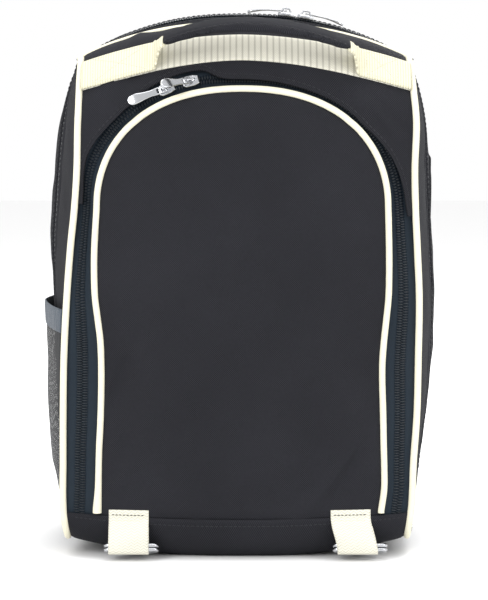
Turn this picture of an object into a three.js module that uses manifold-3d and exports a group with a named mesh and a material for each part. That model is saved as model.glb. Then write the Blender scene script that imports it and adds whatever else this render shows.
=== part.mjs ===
// Cooler backpack: two zipped sections on a padded body, with piping, webbing, a grab handle,
// a mesh side pocket and two shoulder straps.
// Millimetres, +Z up, the front faces -Y. The origin is the middle of the flat underside of the base.
import * as THREE from 'three';
import Module from 'manifold-3d';

const wasm = await Module();
wasm.setup();

// Body sizes
const BODY_DEPTH = 165;         // front piping plane to back seam
const FRONT_SECTION = 58;       // front piping plane to the side seam behind the front section
const BELLY_DEPTH = 102;        // front piping plane to the widest line of the sides
const CORNER_HEIGHT = 362;      // top corners above the resting plane
const BASE_RISE = 13;           // base corners above the resting plane
const EDGE_HALF_WIDTH = 128;    // front piping, its widest half-width
const BELLY_HALF_WIDTH = 147;   // sides, their widest half-width
const BACK_DRAW_IN = 10;        // how much narrower the back seam is than the widest line
const BASE_RADIUS = 18;         // bottom front edge, in side view
const TOP_RADIUS = 46;          // top front edge, in side view
const SHOULDER_RADIUS = 20;     // top corners of the rear section, in front view
const SHOULDER_BLEND = 26;      // behind the side seam, where those corners reach their full radius
const FRONT_CROWN = 13;         // how far the front swells past its piping
const TOP_CROWN = 25;           // how far the top rises between its corners at the top seam
const REAR_CROWN = 33;          // the same at the main zipper
const BACK_TOP_CROWN = 24;      // the same at the back seam
const BASE_CROWN = 15;          // how far the base sags between its corners
const BACK_CROWN = 9;           // how far the back panel swells
const BAND_HEIGHT = 33;         // top of the base band at the sides
const BAND_DIP = 4;             // how much lower it is in the middle

// Cloth, webbing and clearances
const WALL = 2.6;               // panel: two cloths with foam between
const TAPE = 0.9;               // zipper tape
const WEBBING = 1.6;            // thickness of the webbing
const GAP = 0.3;                // between pieces that touch on the real bag
const WEBBING_LIFT = 2.1;       // outer face of the webbing across the top, above the cloth
const PIPING_DIAMETER = 5.4;
const SEAM_INSET = PIPING_DIAMETER / 2 + 0.6;   // panel edge to the line of its piping
const SEAM_CORNER = 6.5;        // radius of the edge piping at the top corners

// Main zipper
const MAIN_ZIP_SETBACK = 16;    // behind the top seam
const MAIN_ZIP_SLOT = 7.5;      // half-width of the opening between the two strips
const MAIN_ZIP_COIL = 8;        // width of the coil
const MAIN_ZIP_END = 190;       // height of its ends on the sides
const COIL_HEIGHT = 2.8;
const ZIP_SUNK = 3.5;           // how deep the front coil lies where the top panel covers its tape

// Webbing pieces
const BAND_WEBBING = 25;        // width of the webbing across the top
const WEBBING_LOW_MIDDLE = 0.73; // its lower edge round the top front bend, in radians, half way
const WEBBING_LOW_END = 0.47;   // the same at its ends
const GRIP_LEFT = -54;          // ends of the grip
const GRIP_RIGHT = 76;
const GRIP_WIDTH = 26;
const GRIP_THICKNESS = 8;
const GRIP_FLOAT = 15.5;        // middle of the grip above the top panel at its ends
const GRIP_ARCH = 9.5;          // how much higher it is half way
const GRIP_WEBBING = 20;        // width of the webbing inside the grip
const GRIP_ROOM = 0.75;         // above and below the webbing inside the grip
const GRIP_FLATTEN = 0.55;      // how far the raised grip turns from the slope of the top to level
const TAB_WIDTH = 29;
const TAB_TOP = 36.5;           // height of the upper edge of the tabs
const TAB_DEPTH = 4.1;          // inside of the fold, which holds the two ring bars
const TAB_BOTTOM = 5.4;         // lowest point of the fold
const TAB_STAND_OFF = 18.1;     // front of the hanging fold, ahead of the front piping plane
const TAB_LEFT = -0.6328;       // middles of the tabs, as shares of EDGE_HALF_WIDTH
const TAB_RIGHT = 0.6188;
const TAB_RIGHT_LEAN = 5;       // how far the right one hangs to the side
const RING_WIRE = 2.8;
const RING_INSIDE = 34;
const RING_REACH = 17;          // straight bar to the far side of the bow

// Mesh pocket on the left side
const POCKET_BOTTOM = 38;
const POCKET_TOP = 163;
const POCKET_BINDING = 17.5;    // height of the elastic binding
const POCKET_FRONT_Y = -78;
const POCKET_BACK_Y = 74;
const MESH = 1.0;
const POCKET_ROOM = 5.6;        // between the side and the binding, at the middle of the mouth
const POCKET_BULGE = 2.0;       // more room half way down
const BINDING = 1.8;

// Shoulder straps
const STRAP_WIDTH = 60;
const STRAP_THICKNESS = 12;
const STRAP_WEBBING = 25;
const BUCKLE_THICKNESS = 5;

// Zipper hardware
const SLIDER_LENGTH = 12;
const SLIDER_WIDTH = 8.4;
const SLIDER_THICKNESS = 2.6;
const CROWN_HEIGHT = 3.9;       // bridge above the slider body
const CROWN_WIRE = 1.5;
const CROWN_LENGTH = 8;
const PULL_LENGTH = 29;
const PULL_WIDTH = 7.6;
const PULL_THICKNESS = 1.2;
const PULL_BAR = 1.3;           // bar of the pull that turns under the bridge
const PULL_WINDOW = 6.2;        // length of the window round the bridge
const FRONT_PULL_TILTS = [42, 6];   // degrees above the cloth
const FRONT_PULL_TURNS = [16, 0];   // degrees that the bar has turned sideways under its bridge
const MAIN_PULL_TILT = -3;

const FRONT_Y = -BODY_DEPTH / 2;
const BACK_Y = BODY_DEPTH / 2;
const SEAM_Y = FRONT_Y + FRONT_SECTION;
const BELLY_Y = FRONT_Y + BELLY_DEPTH;
const ZIP_Y = SEAM_Y + MAIN_ZIP_SETBACK;
const CROWN_POWER = 2.3;        // how square the swelling is across the bag
const SIDE_FULLNESS = 1.2;      // how early the sides reach their widest line

// Body seen from the front, from the base up. height is a share of CORNER_HEIGHT, left and right
// are shares of EDGE_HALF_WIDTH, leftBelly and rightBelly are shares of BELLY_HALF_WIDTH.
const BODY_ROWS = [
  { height: 0.036, left: 0.985, right: 0.938, leftBelly: 0.885, rightBelly: 0.880 },
  { height: 0.100, left: 1.008, right: 0.966, leftBelly: 0.912, rightBelly: 0.910 },
  { height: 0.196, left: 1.007, right: 0.977, leftBelly: 0.932, rightBelly: 0.939 },
  { height: 0.290, left: 1.005, right: 0.994, leftBelly: 0.950, rightBelly: 0.973 },
  { height: 0.406, left: 0.998, right: 1.000, leftBelly: 0.966, rightBelly: 0.993 },
  { height: 0.522, left: 0.980, right: 1.003, leftBelly: 0.974, rightBelly: 1.000 },
  { height: 0.624, left: 0.957, right: 0.990, leftBelly: 0.986, rightBelly: 0.987 },
  { height: 0.700, left: 0.934, right: 0.979, leftBelly: 0.975, rightBelly: 0.978 },
  { height: 0.780, left: 0.918, right: 0.973, leftBelly: 0.960, rightBelly: 0.966 },
  { height: 0.873, left: 0.911, right: 0.980, leftBelly: 0.930, rightBelly: 0.950 },
  { height: 0.942, left: 0.895, right: 0.957, leftBelly: 0.888, rightBelly: 0.912 },
  { height: 1.000, left: 0.875, right: 0.930, leftBelly: 0.837, rightBelly: 0.864 },
];

// Legs of the arch piping. height is a share of CORNER_HEIGHT, left and right are shares of
// EDGE_HALF_WIDTH. Above the last row the arch is half a superellipse.
const ARCH_LEGS = [
  { height: 0.098, left: 0.813, right: 0.793 },
  { height: 0.145, left: 0.806, right: 0.810 },
  { height: 0.215, left: 0.801, right: 0.806 },
  { height: 0.290, left: 0.790, right: 0.801 },
  { height: 0.386, left: 0.785, right: 0.794 },
  { height: 0.450, left: 0.792, right: 0.806 },
  { height: 0.522, left: 0.818, right: 0.827 },
  { height: 0.610, left: 0.822, right: 0.830 },
  { height: 0.696, left: 0.808, right: 0.824 },
];
const ARCH_RISE = 0.2415;       // of CORNER_HEIGHT, from the last row to the top of the arch
const ARCH_POWER = 2.24;

// Front zipper along the arch, from the left foot to the right foot. along is a share of the arch.
// coil is the distance from the arch piping to the middle of the coil, half is half the width of the
// coil and cover is the distance to the edge of the top panel, all shares of EDGE_HALF_WIDTH. sunk is
// how deep the coil lies, a share of ZIP_SUNK.
const ZIP_ROWS = [
  { along: 0.00, coil: 0.1062, half: 0.0328, cover: 0.2031, sunk: 0.143 },
  { along: 0.16, coil: 0.1094, half: 0.0328, cover: 0.2031, sunk: 0.143 },
  { along: 0.21, coil: 0.0891, half: 0.0297, cover: 0.1875, sunk: 0.200 },
  { along: 0.25, coil: 0.0734, half: 0.0234, cover: 0.1250, sunk: 0.514 },
  { along: 0.29, coil: 0.0688, half: 0.0219, cover: 0.0859, sunk: 1.000 },
  { along: 0.31, coil: 0.0688, half: 0.0227, cover: 0.0828, sunk: 1.000 },
  { along: 0.34, coil: 0.0734, half: 0.0250, cover: 0.1062, sunk: 1.000 },
  { along: 0.37, coil: 0.0656, half: 0.0266, cover: 0.0891, sunk: 1.000 },
  { along: 0.40, coil: 0.0609, half: 0.0266, cover: 0.0813, sunk: 1.000 },
  { along: 0.418, coil: 0.0594, half: 0.0266, cover: 0.0969, sunk: 1.000 },
  { along: 0.462, coil: 0.0594, half: 0.0266, cover: 0.0969, sunk: 1.000 },
  { along: 0.48, coil: 0.0563, half: 0.0266, cover: 0.0500, sunk: 1.000 },
  { along: 0.50, coil: 0.0547, half: 0.0266, cover: 0.0406, sunk: 1.000 },
  { along: 0.62, coil: 0.0547, half: 0.0266, cover: 0.0375, sunk: 1.000 },
  { along: 0.66, coil: 0.0625, half: 0.0266, cover: 0.0742, sunk: 1.000 },
  { along: 0.70, coil: 0.0719, half: 0.0250, cover: 0.1016, sunk: 1.000 },
  { along: 0.73, coil: 0.0750, half: 0.0266, cover: 0.1250, sunk: 0.743 },
  { along: 0.78, coil: 0.0859, half: 0.0297, cover: 0.1719, sunk: 0.257 },
  { along: 0.85, coil: 0.1031, half: 0.0312, cover: 0.2031, sunk: 0.143 },
  { along: 0.91, coil: 0.0984, half: 0.0312, cover: 0.2031, sunk: 0.143 },
  { along: 0.96, coil: 0.0875, half: 0.0312, cover: 0.2031, sunk: 0.143 },
  { along: 1.00, coil: 0.0891, half: 0.0312, cover: 0.2031, sunk: 0.143 },
];
const FRONT_SLIDERS = [0.4516, 0.4288];   // places of the two sliders along the arch
const TOP_PANEL_FROM = 0.312;           // the top panel's tips, as shares of the arch
const TOP_PANEL_TO = 0.700;

// Dents and folds of the front cloth. across is a share of EDGE_HALF_WIDTH, height, wide and tall are
// shares of CORNER_HEIGHT, turn is in degrees, depth is a share of FRONT_CROWN.
const DENTS = [
  { across: -0.66, height: 0.35, wide: 0.035, tall: 0.16, turn: 6, depth: 0.16 },
  { across: -0.30, height: 0.20, wide: 0.16, tall: 0.06, turn: -8, depth: 0.10 },
  { across: 0.52, height: 0.22, wide: 0.05, tall: 0.12, turn: -32, depth: 0.17 },
  { across: 0.36, height: 0.15, wide: 0.04, tall: 0.09, turn: -40, depth: 0.13 },
  { across: -0.74, height: 0.915, wide: 0.020, tall: 0.085, turn: -38, depth: 0.15 },
  { across: 0.80, height: 0.86, wide: 0.025, tall: 0.06, turn: 30, depth: 0.14 },
  { across: 0.00, height: 0.55, wide: 0.22, tall: 0.22, turn: 0, depth: -0.08 },
];

// Shoulder straps seen from behind the bag. across is a share of BELLY_HALF_WIDTH, height a share of
// CORNER_HEIGHT, out the distance behind the back seam as a share of BODY_DEPTH, width a share of
// STRAP_WIDTH, thick a share of STRAP_THICKNESS.
const STRAP_ROWS = {
  right: [
    { across: 0.400, height: 0.965, out: 0.050, width: 0.95, thick: 0.70 },
    { across: 0.450, height: 1.000, out: 0.130, width: 1.00, thick: 0.95 },
    { across: 0.580, height: 0.985, out: 0.215, width: 1.02, thick: 1.00 },
    { across: 0.725, height: 0.925, out: 0.275, width: 1.03, thick: 1.00 },
    { across: 0.835, height: 0.835, out: 0.300, width: 1.03, thick: 1.00 },
    { across: 0.874, height: 0.740, out: 0.305, width: 1.02, thick: 1.00 },
    { across: 0.882, height: 0.640, out: 0.300, width: 1.00, thick: 1.00 },
    { across: 0.876, height: 0.545, out: 0.285, width: 1.00, thick: 1.00 },
    { across: 0.868, height: 0.480, out: 0.260, width: 0.93, thick: 0.95 },
    { across: 0.858, height: 0.443, out: 0.243, width: 0.64, thick: 0.80 },
    { across: 0.850, height: 0.412, out: 0.230, width: 0.48, thick: 0.60 },
  ],
  left: [
    { across: 0.400, height: 0.965, out: 0.050, width: 0.95, thick: 0.70 },
    { across: 0.440, height: 1.000, out: 0.130, width: 1.00, thick: 0.95 },
    { across: 0.540, height: 0.980, out: 0.215, width: 1.02, thick: 1.00 },
    { across: 0.650, height: 0.915, out: 0.275, width: 1.03, thick: 1.00 },
    { across: 0.735, height: 0.820, out: 0.300, width: 1.03, thick: 1.00 },
    { across: 0.790, height: 0.720, out: 0.305, width: 1.02, thick: 1.00 },
    { across: 0.832, height: 0.620, out: 0.300, width: 1.00, thick: 1.00 },
    { across: 0.855, height: 0.525, out: 0.285, width: 1.00, thick: 1.00 },
    { across: 0.862, height: 0.460, out: 0.260, width: 0.93, thick: 0.95 },
    { across: 0.860, height: 0.423, out: 0.243, width: 0.64, thick: 0.80 },
    { across: 0.856, height: 0.392, out: 0.230, width: 0.48, thick: 0.60 },
  ],
};
const ANCHOR_ACROSS = 0.66;     // of BELLY_HALF_WIDTH, where the lower webbing is sewn in
const ANCHOR_HEIGHT = 50;       // end of the lower webbing
const ANCHOR_SEAM = 27;         // lower edge of its anchor

const bag = new THREE.Group();
const CORE = new THREE.Vector3(0, 0, CORNER_HEIGHT / 2);

const COLOURS = {
  cloth: { color: 0x2f3036, roughness: 0.88, metalness: 0 },
  tape: { color: 0x2a3138, roughness: 0.85, metalness: 0 },
  coil: { color: 0x12171c, roughness: 0.45, metalness: 0 },
  cream: { color: 0xf2f1e0, roughness: 0.75, metalness: 0 },
  mesh: { color: 0x26282c, roughness: 0.9, metalness: 0 },
  binding: { color: 0x4b5967, roughness: 0.6, metalness: 0 },
  metal: { color: 0xc9ccd1, roughness: 0.25, metalness: 1 },
  plastic: { color: 0x1b1c1e, roughness: 0.5, metalness: 0 },
};

function addPiece(name, geometry, finish) {
  const piece = new THREE.Mesh(geometry, new THREE.MeshStandardMaterial(COLOURS[finish]));
  piece.name = name;
  bag.add(piece);
  return piece;
}

const clamp = (value, low, high) => Math.min(high, Math.max(low, value));
const mix = (a, b, share) => a + (b - a) * share;

// 0 below `from`, 1 above `to`, and an even bend between them.
function ease(value, from, to) {
  const t = clamp((value - from) / (to - from), 0, 1);
  return t * t * (3 - 2 * t);
}

// A column of a table, read between its rows on a smooth curve.
function readTable(rows, key, column, at) {
  let i = 0;
  while (i < rows.length - 2 && rows[i + 1][key] < at) i += 1;
  const before = rows[Math.max(0, i - 1)];
  const after = rows[Math.min(rows.length - 1, i + 2)];
  const [a, b] = [rows[i], rows[i + 1]];
  const span = b[key] - a[key];
  const t = clamp((at - a[key]) / span, 0, 1);
  const slopeA = i > 0 ? (b[column] - before[column]) / (b[key] - before[key]) * span : b[column] - a[column];
  const slopeB = i < rows.length - 2
    ? (after[column] - a[column]) / (after[key] - a[key]) * span : b[column] - a[column];
  const t2 = t * t;
  const t3 = t2 * t;
  return (2 * t3 - 3 * t2 + 1) * a[column] + (t3 - 2 * t2 + t) * slopeA
    + (3 * t2 - 2 * t3) * b[column] + (t3 - t2) * slopeB;
}

function spread(from, to, steps) {
  return Array.from({ length: steps + 1 }, (_, i) => mix(from, to, i / steps));
}

// Closed solids from grids of points

function signedVolume(positions, faces) {
  let sum = 0;
  for (const [a, b, c] of faces) sum += positions[a].dot(positions[b].clone().cross(positions[c]));
  return sum / 6;
}

function solidGeometry(points, faces) {
  const turned = signedVolume(points, faces) < 0;
  const geometry = new THREE.BufferGeometry();
  geometry.setAttribute('position', new THREE.Float32BufferAttribute(points.flatMap((p) => [p.x, p.y, p.z]), 3));
  geometry.setIndex(faces.flatMap(([a, b, c]) => (turned ? [a, c, b] : [a, b, c])));
  return geometry;
}

// A sheet with a thickness: `outer` and `inner` are equal grids, rows of points. With `loop` each row
// runs round and closes on itself.
function sheetSolid(outer, inner, loop = false) {
  const rows = outer.length;
  const columns = outer[0].length;
  const points = [...outer.flat(), ...inner.flat()];
  const under = rows * columns;
  const at = (r, c) => r * columns + (c % columns);
  const faces = [];
  const quad = (a, b, c, d) => faces.push([a, b, c], [a, c, d]);
  const lastColumn = loop ? columns : columns - 1;
  for (let r = 0; r < rows - 1; r += 1) {
    for (let c = 0; c < lastColumn; c += 1) {
      quad(at(r, c), at(r, c + 1), at(r + 1, c + 1), at(r + 1, c));
      quad(under + at(r, c), under + at(r + 1, c), under + at(r + 1, c + 1), under + at(r, c + 1));
    }
  }
  for (let c = 0; c < lastColumn; c += 1) {
    quad(at(0, c), under + at(0, c), under + at(0, c + 1), at(0, c + 1));
    quad(at(rows - 1, c), at(rows - 1, c + 1), under + at(rows - 1, c + 1), under + at(rows - 1, c));
  }
  if (!loop) {
    for (let r = 0; r < rows - 1; r += 1) {
      quad(at(r, 0), at(r + 1, 0), under + at(r + 1, 0), under + at(r, 0));
      quad(at(r, columns - 1), under + at(r, columns - 1), under + at(r + 1, columns - 1), at(r + 1, columns - 1));
    }
  }
  return solidGeometry(points, faces);
}

// A sheet between two depths of a surface: `surface(u, v, depth)` gives the point.
function panel(surface, rows, columns, top = 0, thickness = WALL) {
  const layer = (depth) => rows.map((v) => columns.map((u) => surface(u, v, depth)));
  return sheetSolid(layer(top), layer(top + thickness));
}

// A row of rings of points, closed by a flat cap at each end.
function loftSolid(rings) {
  const sides = rings[0].length;
  const points = rings.flat();
  const faces = [];
  for (let r = 0; r < rings.length - 1; r += 1) {
    for (let i = 0; i < sides; i += 1) {
      const j = (i + 1) % sides;
      const [a, b] = [r * sides + i, r * sides + j];
      faces.push([a, b, b + sides], [a, b + sides, a + sides]);
    }
  }
  const last = (rings.length - 1) * sides;
  for (let i = 1; i < sides - 1; i += 1) {
    faces.push([0, i + 1, i], [last, last + i, last + i + 1]);
  }
  return solidGeometry(points, faces);
}

// A round bar through points, with a ring of corners at each. Its rings are turned by the direction
// from `middle`, a point well off the bar. A closed bar has no caps.
function roundBar(points, radius, sides, middle, closed = false) {
  const count = points.length;
  const rings = points.map((point, i) => {
    const before = points[closed ? (i + count - 1) % count : Math.max(0, i - 1)];
    const after = points[closed ? (i + 1) % count : Math.min(count - 1, i + 1)];
    const arrive = point.clone().sub(before).normalize();
    const leave = after.clone().sub(point).normalize();
    const along = arrive.clone().add(leave).normalize();
    const aside = point.clone().sub(middle);
    aside.addScaledVector(along, -aside.dot(along)).normalize();
    const across = along.clone().cross(aside);
    return Array.from({ length: sides }, (_, k) => {
      const turn = (k / sides) * 2 * Math.PI;
      return point.clone().addScaledVector(aside, radius * Math.cos(turn)).addScaledVector(across, radius * Math.sin(turn));
    });
  });
  return closed ? ringSolid(rings) : loftSolid(rings);
}

// Rings of points that follow each other round and close on the first.
function ringSolid(rings) {
  const sides = rings[0].length;
  const faces = [];
  rings.forEach((_, r) => {
    const next = ((r + 1) % rings.length) * sides;
    for (let k = 0; k < sides; k += 1) {
      const j = (k + 1) % sides;
      faces.push([r * sides + k, r * sides + j, next + j], [r * sides + k, next + j, next + k]);
    }
  });
  return solidGeometry(rings.flat(), faces);
}

function curveThrough(points, closed = false) {
  return new THREE.CatmullRomCurve3(points, closed, 'centripetal');
}

// Joining and cutting, on closed geometries

function toSolid(geometry) {
  return new wasm.Manifold(new wasm.Mesh({
    numProp: 3,
    vertProperties: new Float32Array(geometry.attributes.position.array),
    triVerts: new Uint32Array(geometry.index.array),
  }));
}

function toGeometry(solid) {
  const mesh = solid.getMesh();
  const geometry = new THREE.BufferGeometry();
  const points = [];
  for (let i = 0; i < mesh.vertProperties.length; i += mesh.numProp) {
    points.push(mesh.vertProperties[i], mesh.vertProperties[i + 1], mesh.vertProperties[i + 2]);
  }
  geometry.setAttribute('position', new THREE.Float32BufferAttribute(points, 3));
  geometry.setIndex(Array.from(mesh.triVerts));
  return geometry;
}

// Body surfaces

function halfWidth(side, y, z) {
  const share = z / CORNER_HEIGHT;
  const edge = EDGE_HALF_WIDTH * readTable(BODY_ROWS, 'height', side > 0 ? 'right' : 'left', share);
  const belly = BELLY_HALF_WIDTH * readTable(BODY_ROWS, 'height', side > 0 ? 'rightBelly' : 'leftBelly', share);
  if (y < BELLY_Y) {
    const t = clamp((y - FRONT_Y) / (BELLY_Y - FRONT_Y), 0, 1);
    return edge + (belly - edge) * (1 - (1 - t) ** SIDE_FULLNESS);
  }
  const t = (y - BELLY_Y) / (BACK_Y - BELLY_Y);
  return belly - BACK_DRAW_IN * t * t;
}

// The seam line of the front cloth in side view, as lengths from the back of the base: along the base,
// round the bottom edge, up the front, round the top edge and back to the top seam.
const QUARTER = Math.PI / 2;
const BASE_RUN = BACK_Y - (FRONT_Y + BASE_RADIUS);
const FRONT_FROM = BASE_RUN + QUARTER * BASE_RADIUS;
const ROOF_FROM = FRONT_FROM + CORNER_HEIGHT - TOP_RADIUS - BASE_RISE - BASE_RADIUS;
const ROOF_TO = ROOF_FROM + QUARTER * TOP_RADIUS;
const TOP_SEAM = ROOF_TO + SEAM_Y - (FRONT_Y + TOP_RADIUS);

function seamLine(s) {
  if (s < BASE_RUN) return { y: BACK_Y - s, z: BASE_RISE, outY: 0, outZ: -1 };
  if (s < FRONT_FROM) {
    const turn = (s - BASE_RUN) / BASE_RADIUS;
    const [outY, outZ] = [-Math.sin(turn), -Math.cos(turn)];
    return {
      y: FRONT_Y + BASE_RADIUS + BASE_RADIUS * outY, z: BASE_RISE + BASE_RADIUS + BASE_RADIUS * outZ, outY, outZ,
    };
  }
  if (s < ROOF_FROM) return { y: FRONT_Y, z: BASE_RISE + BASE_RADIUS + s - FRONT_FROM, outY: -1, outZ: 0 };
  if (s < ROOF_TO) {
    const turn = (s - ROOF_FROM) / TOP_RADIUS;
    const [outY, outZ] = [-Math.cos(turn), Math.sin(turn)];
    return {
      y: FRONT_Y + TOP_RADIUS + TOP_RADIUS * outY, z: CORNER_HEIGHT - TOP_RADIUS + TOP_RADIUS * outZ, outY, outZ,
    };
  }
  return { y: FRONT_Y + TOP_RADIUS + s - ROOF_TO, z: CORNER_HEIGHT, outY: 0, outZ: 1 };
}

function dentAt(x, z) {
  let depth = 0;
  for (const dent of DENTS) {
    const turn = THREE.MathUtils.degToRad(dent.turn);
    const dx = x - dent.across * EDGE_HALF_WIDTH;
    const dz = z - dent.height * CORNER_HEIGHT;
    const across = (dx * Math.cos(turn) - dz * Math.sin(turn)) / (dent.wide * CORNER_HEIGHT);
    const along = (dx * Math.sin(turn) + dz * Math.cos(turn)) / (dent.tall * CORNER_HEIGHT);
    depth += dent.depth * FRONT_CROWN * Math.exp(-across * across - along * along);
  }
  return depth;
}

// Sag of the base: full over most of its length, less at the back, where its piping needs room.
function baseSag(y) {
  return BASE_CROWN * (1 - 0.4 * ease(y, BACK_Y - 24, BACK_Y));
}

// The base, front and top as one cloth: x is across, s is the length along the seam line.
function frontSkin(x, s) {
  const line = seamLine(s);
  const width = halfWidth(x, line.y, line.z);
  const f = clamp(Math.abs(x) / width, 0, 1);
  const roof = line.outZ > 0 ? TOP_CROWN : baseSag(line.y);
  const swell = (line.outY ** 2 * FRONT_CROWN + line.outZ ** 2 * roof) * (1 - f ** CROWN_POWER);
  const out = swell - dentAt(x, line.z) * line.outY ** 2 * (1 - f ** 4);
  return new THREE.Vector3(x, line.y + line.outY * out, Math.max(0, line.z + line.outZ * out));
}

// Height of the shell over the rear section, at the middle of the bag.
function roofCrown(y) {
  const rising = mix(TOP_CROWN, REAR_CROWN, ease(y, SEAM_Y, ZIP_Y));
  return mix(rising, BACK_TOP_CROWN, ease(y, BELLY_Y, BACK_Y));
}

const SIDE_RUN = CORNER_HEIGHT - BASE_RISE;

// The rear section as one cloth over the top and down both sides. `station` counts across it:
// 0 in the middle of the top, 1 where the shoulder starts, 2 where it ends, 3 at the base corner,
// below zero on the left.
function rearSkin(station, y) {
  const side = Math.sign(station) || 1;
  const k = Math.abs(station);
  const round = mix(3, SHOULDER_RADIUS, ease(y, SEAM_Y, SEAM_Y + SHOULDER_BLEND));
  const topWidth = halfWidth(side, y, CORNER_HEIGHT);
  const roofPoint = (across) => {
    const f = clamp(across / topWidth, 0, 1);
    return [across, CORNER_HEIGHT + roofCrown(y) * (1 - f ** CROWN_POWER)];
  };
  const sidePoint = (down) => [halfWidth(side, y, CORNER_HEIGHT - down), CORNER_HEIGHT - down];
  let point;
  if (k < 1) point = roofPoint(k * (topWidth - round));
  else if (k > 2) point = sidePoint(mix(round, SIDE_RUN, k - 2));
  else {
    const t = k - 1;
    const [from, corner, to] = [roofPoint(topWidth - round), [topWidth, CORNER_HEIGHT], sidePoint(round)];
    point = [0, 1].map((i) => (1 - t) ** 2 * from[i] + 2 * t * (1 - t) * corner[i] + t * t * to[i]);
  }
  return new THREE.Vector3(side * point[0], y, point[1]);
}

// Station of the point at height z on the side of the rear section.
const stationAt = (z) => 2 + (CORNER_HEIGHT - SHOULDER_RADIUS - z) / (SIDE_RUN - SHOULDER_RADIUS);

function sideSkin(side) {
  return (y, z) => new THREE.Vector3(side * halfWidth(side, y, z), y, z);
}

// Adds a depth below a surface. The step is in the surface's own two numbers.
function withDepth(skin, stepU, stepV, sign = 1) {
  return (u, v, depth) => {
    const point = skin(u, v);
    const du = skin(u + stepU, v).sub(skin(u - stepU, v));
    const dv = skin(u, v + stepV).sub(skin(u, v - stepV));
    const out = du.cross(dv).normalize().multiplyScalar(sign);
    return point.addScaledVector(out, -depth);
  };
}

const front = withDepth(frontSkin, 0.5, 0.5);
const rear = withDepth(rearSkin, 0.002, 0.3);
const sideOf = { left: withDepth(sideSkin(-1), 0.5, 0.5, -1), right: withDepth(sideSkin(1), 0.5, 0.5, 1) };

function frontOut(x, s) {
  return front(x, s, -1).sub(front(x, s, 0));
}

// Length along the seam line where the front cloth at x has the height z.
function lengthAt(x, z) {
  let [low, high] = [BASE_RUN + BASE_RADIUS * 0.3, TOP_SEAM];
  for (let i = 0; i < 40; i += 1) {
    const middle = (low + high) / 2;
    if (frontSkin(x, middle).z < z) low = middle;
    else high = middle;
  }
  return (low + high) / 2;
}

const edgeX = (side, s) => side * halfWidth(side, seamLine(s).y, seamLine(s).z);

// Top edge of the base band at x.
function bandTop(x) {
  const f = clamp(Math.abs(x) / EDGE_HALF_WIDTH, 0, 1);
  return lengthAt(x, BAND_HEIGHT - BAND_DIP * (1 - f * f));
}

// Base and band
{
  const bottomInset = (y) => mix(SEAM_INSET, GAP, ease(y, SEAM_Y, SEAM_Y + 4));
  const shares = [...spread(-1, -0.4, 4), 0, ...spread(0.4, 1, 4)];
  const seamRow = BACK_Y - SEAM_Y;
  const straight = [...spread(SEAM_INSET, 24, 2), 60, seamRow - 4, seamRow, BASE_RUN - BASE_RADIUS];
  const bend = [...spread(BASE_RUN, FRONT_FROM, 5)];
  const rowPoint = (share, s) => {
    const side = Math.sign(share) || 1;
    return share * side * (edgeX(side, s) - side * bottomInset(seamLine(s).y));
  };
  const surface = (share, s, depth) => front(rowPoint(share, s), s, depth);
  const topRow = (share, depth) => {
    const x = rowPoint(share, FRONT_FROM);
    return front(x, bandTop(x) - GAP / 2, depth);
  };
  const layer = (depth) => [
    ...[...straight, ...bend.slice(0, -1)].map((s) => shares.map((share) => surface(share, s, depth))),
    shares.map((share) => topRow(share, depth)),
  ];
  addPiece('base_panel', sheetSolid(layer(0), layer(WALL)), 'cloth');
}

// Arch of the front zipper, as a curve on the flat cut of the front cloth: x across, y the length s

const archMiddle = EDGE_HALF_WIDTH * (ARCH_LEGS.at(-1).right - ARCH_LEGS.at(-1).left) / 2;
const archHalf = EDGE_HALF_WIDTH * (ARCH_LEGS.at(-1).right + ARCH_LEGS.at(-1).left) / 2;

function archFrontView() {
  const legs = spread(ARCH_LEGS[0].height, ARCH_LEGS.at(-1).height, 14);
  const leg = (column, sign) => (share) => [
    sign * EDGE_HALF_WIDTH * readTable(ARCH_LEGS, 'height', column, share), share * CORNER_HEIGHT,
  ];
  const bow = spread(0, Math.PI, 26).slice(1, -1).map((turn) => {
    const bend = (value) => Math.sign(value) * Math.abs(value) ** (2 / ARCH_POWER);
    return [
      archMiddle - archHalf * bend(Math.cos(turn)),
      CORNER_HEIGHT * (ARCH_LEGS.at(-1).height + ARCH_RISE * bend(Math.sin(turn))),
    ];
  });
  return [...legs.map(leg('left', -1)), ...bow, ...legs.reverse().map(leg('right', 1))];
}

const archCut = curveThrough(archFrontView().map(([x, z]) => new THREE.Vector3(x, lengthAt(x, z), 0)));
archCut.arcLengthDivisions = 800;

// Point of the cut at a distance outside the arch piping.
function archAt(along, offset) {
  const t = clamp(along, 0, 1);
  const point = archCut.getPointAt(t);
  const tangent = archCut.getTangentAt(t);
  return { x: point.x - tangent.y * offset, s: point.y + tangent.x * offset, tangent };
}

function onArch(along, offset, depth) {
  const { x, s } = archAt(along, offset);
  return front(x, s, depth);
}

const zip = (column, along) => readTable(ZIP_ROWS, 'along', column, along)
  * (column === 'sunk' ? ZIP_SUNK : EDGE_HALF_WIDTH);

// Places along the arch where what follows it has its corners, closer together round the bow.
const archStations = [...spread(0, 0.28, 10), ...spread(0.28, 0.72, 28).slice(1), ...spread(0.72, 1, 10).slice(1)];

// Room between the arch piping and the edge piping beside it.
function room(along) {
  const point = archAt(along, 0);
  return Math.abs(edgeX(Math.sign(point.x) || 1, point.s)) - Math.abs(point.x);
}

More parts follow.
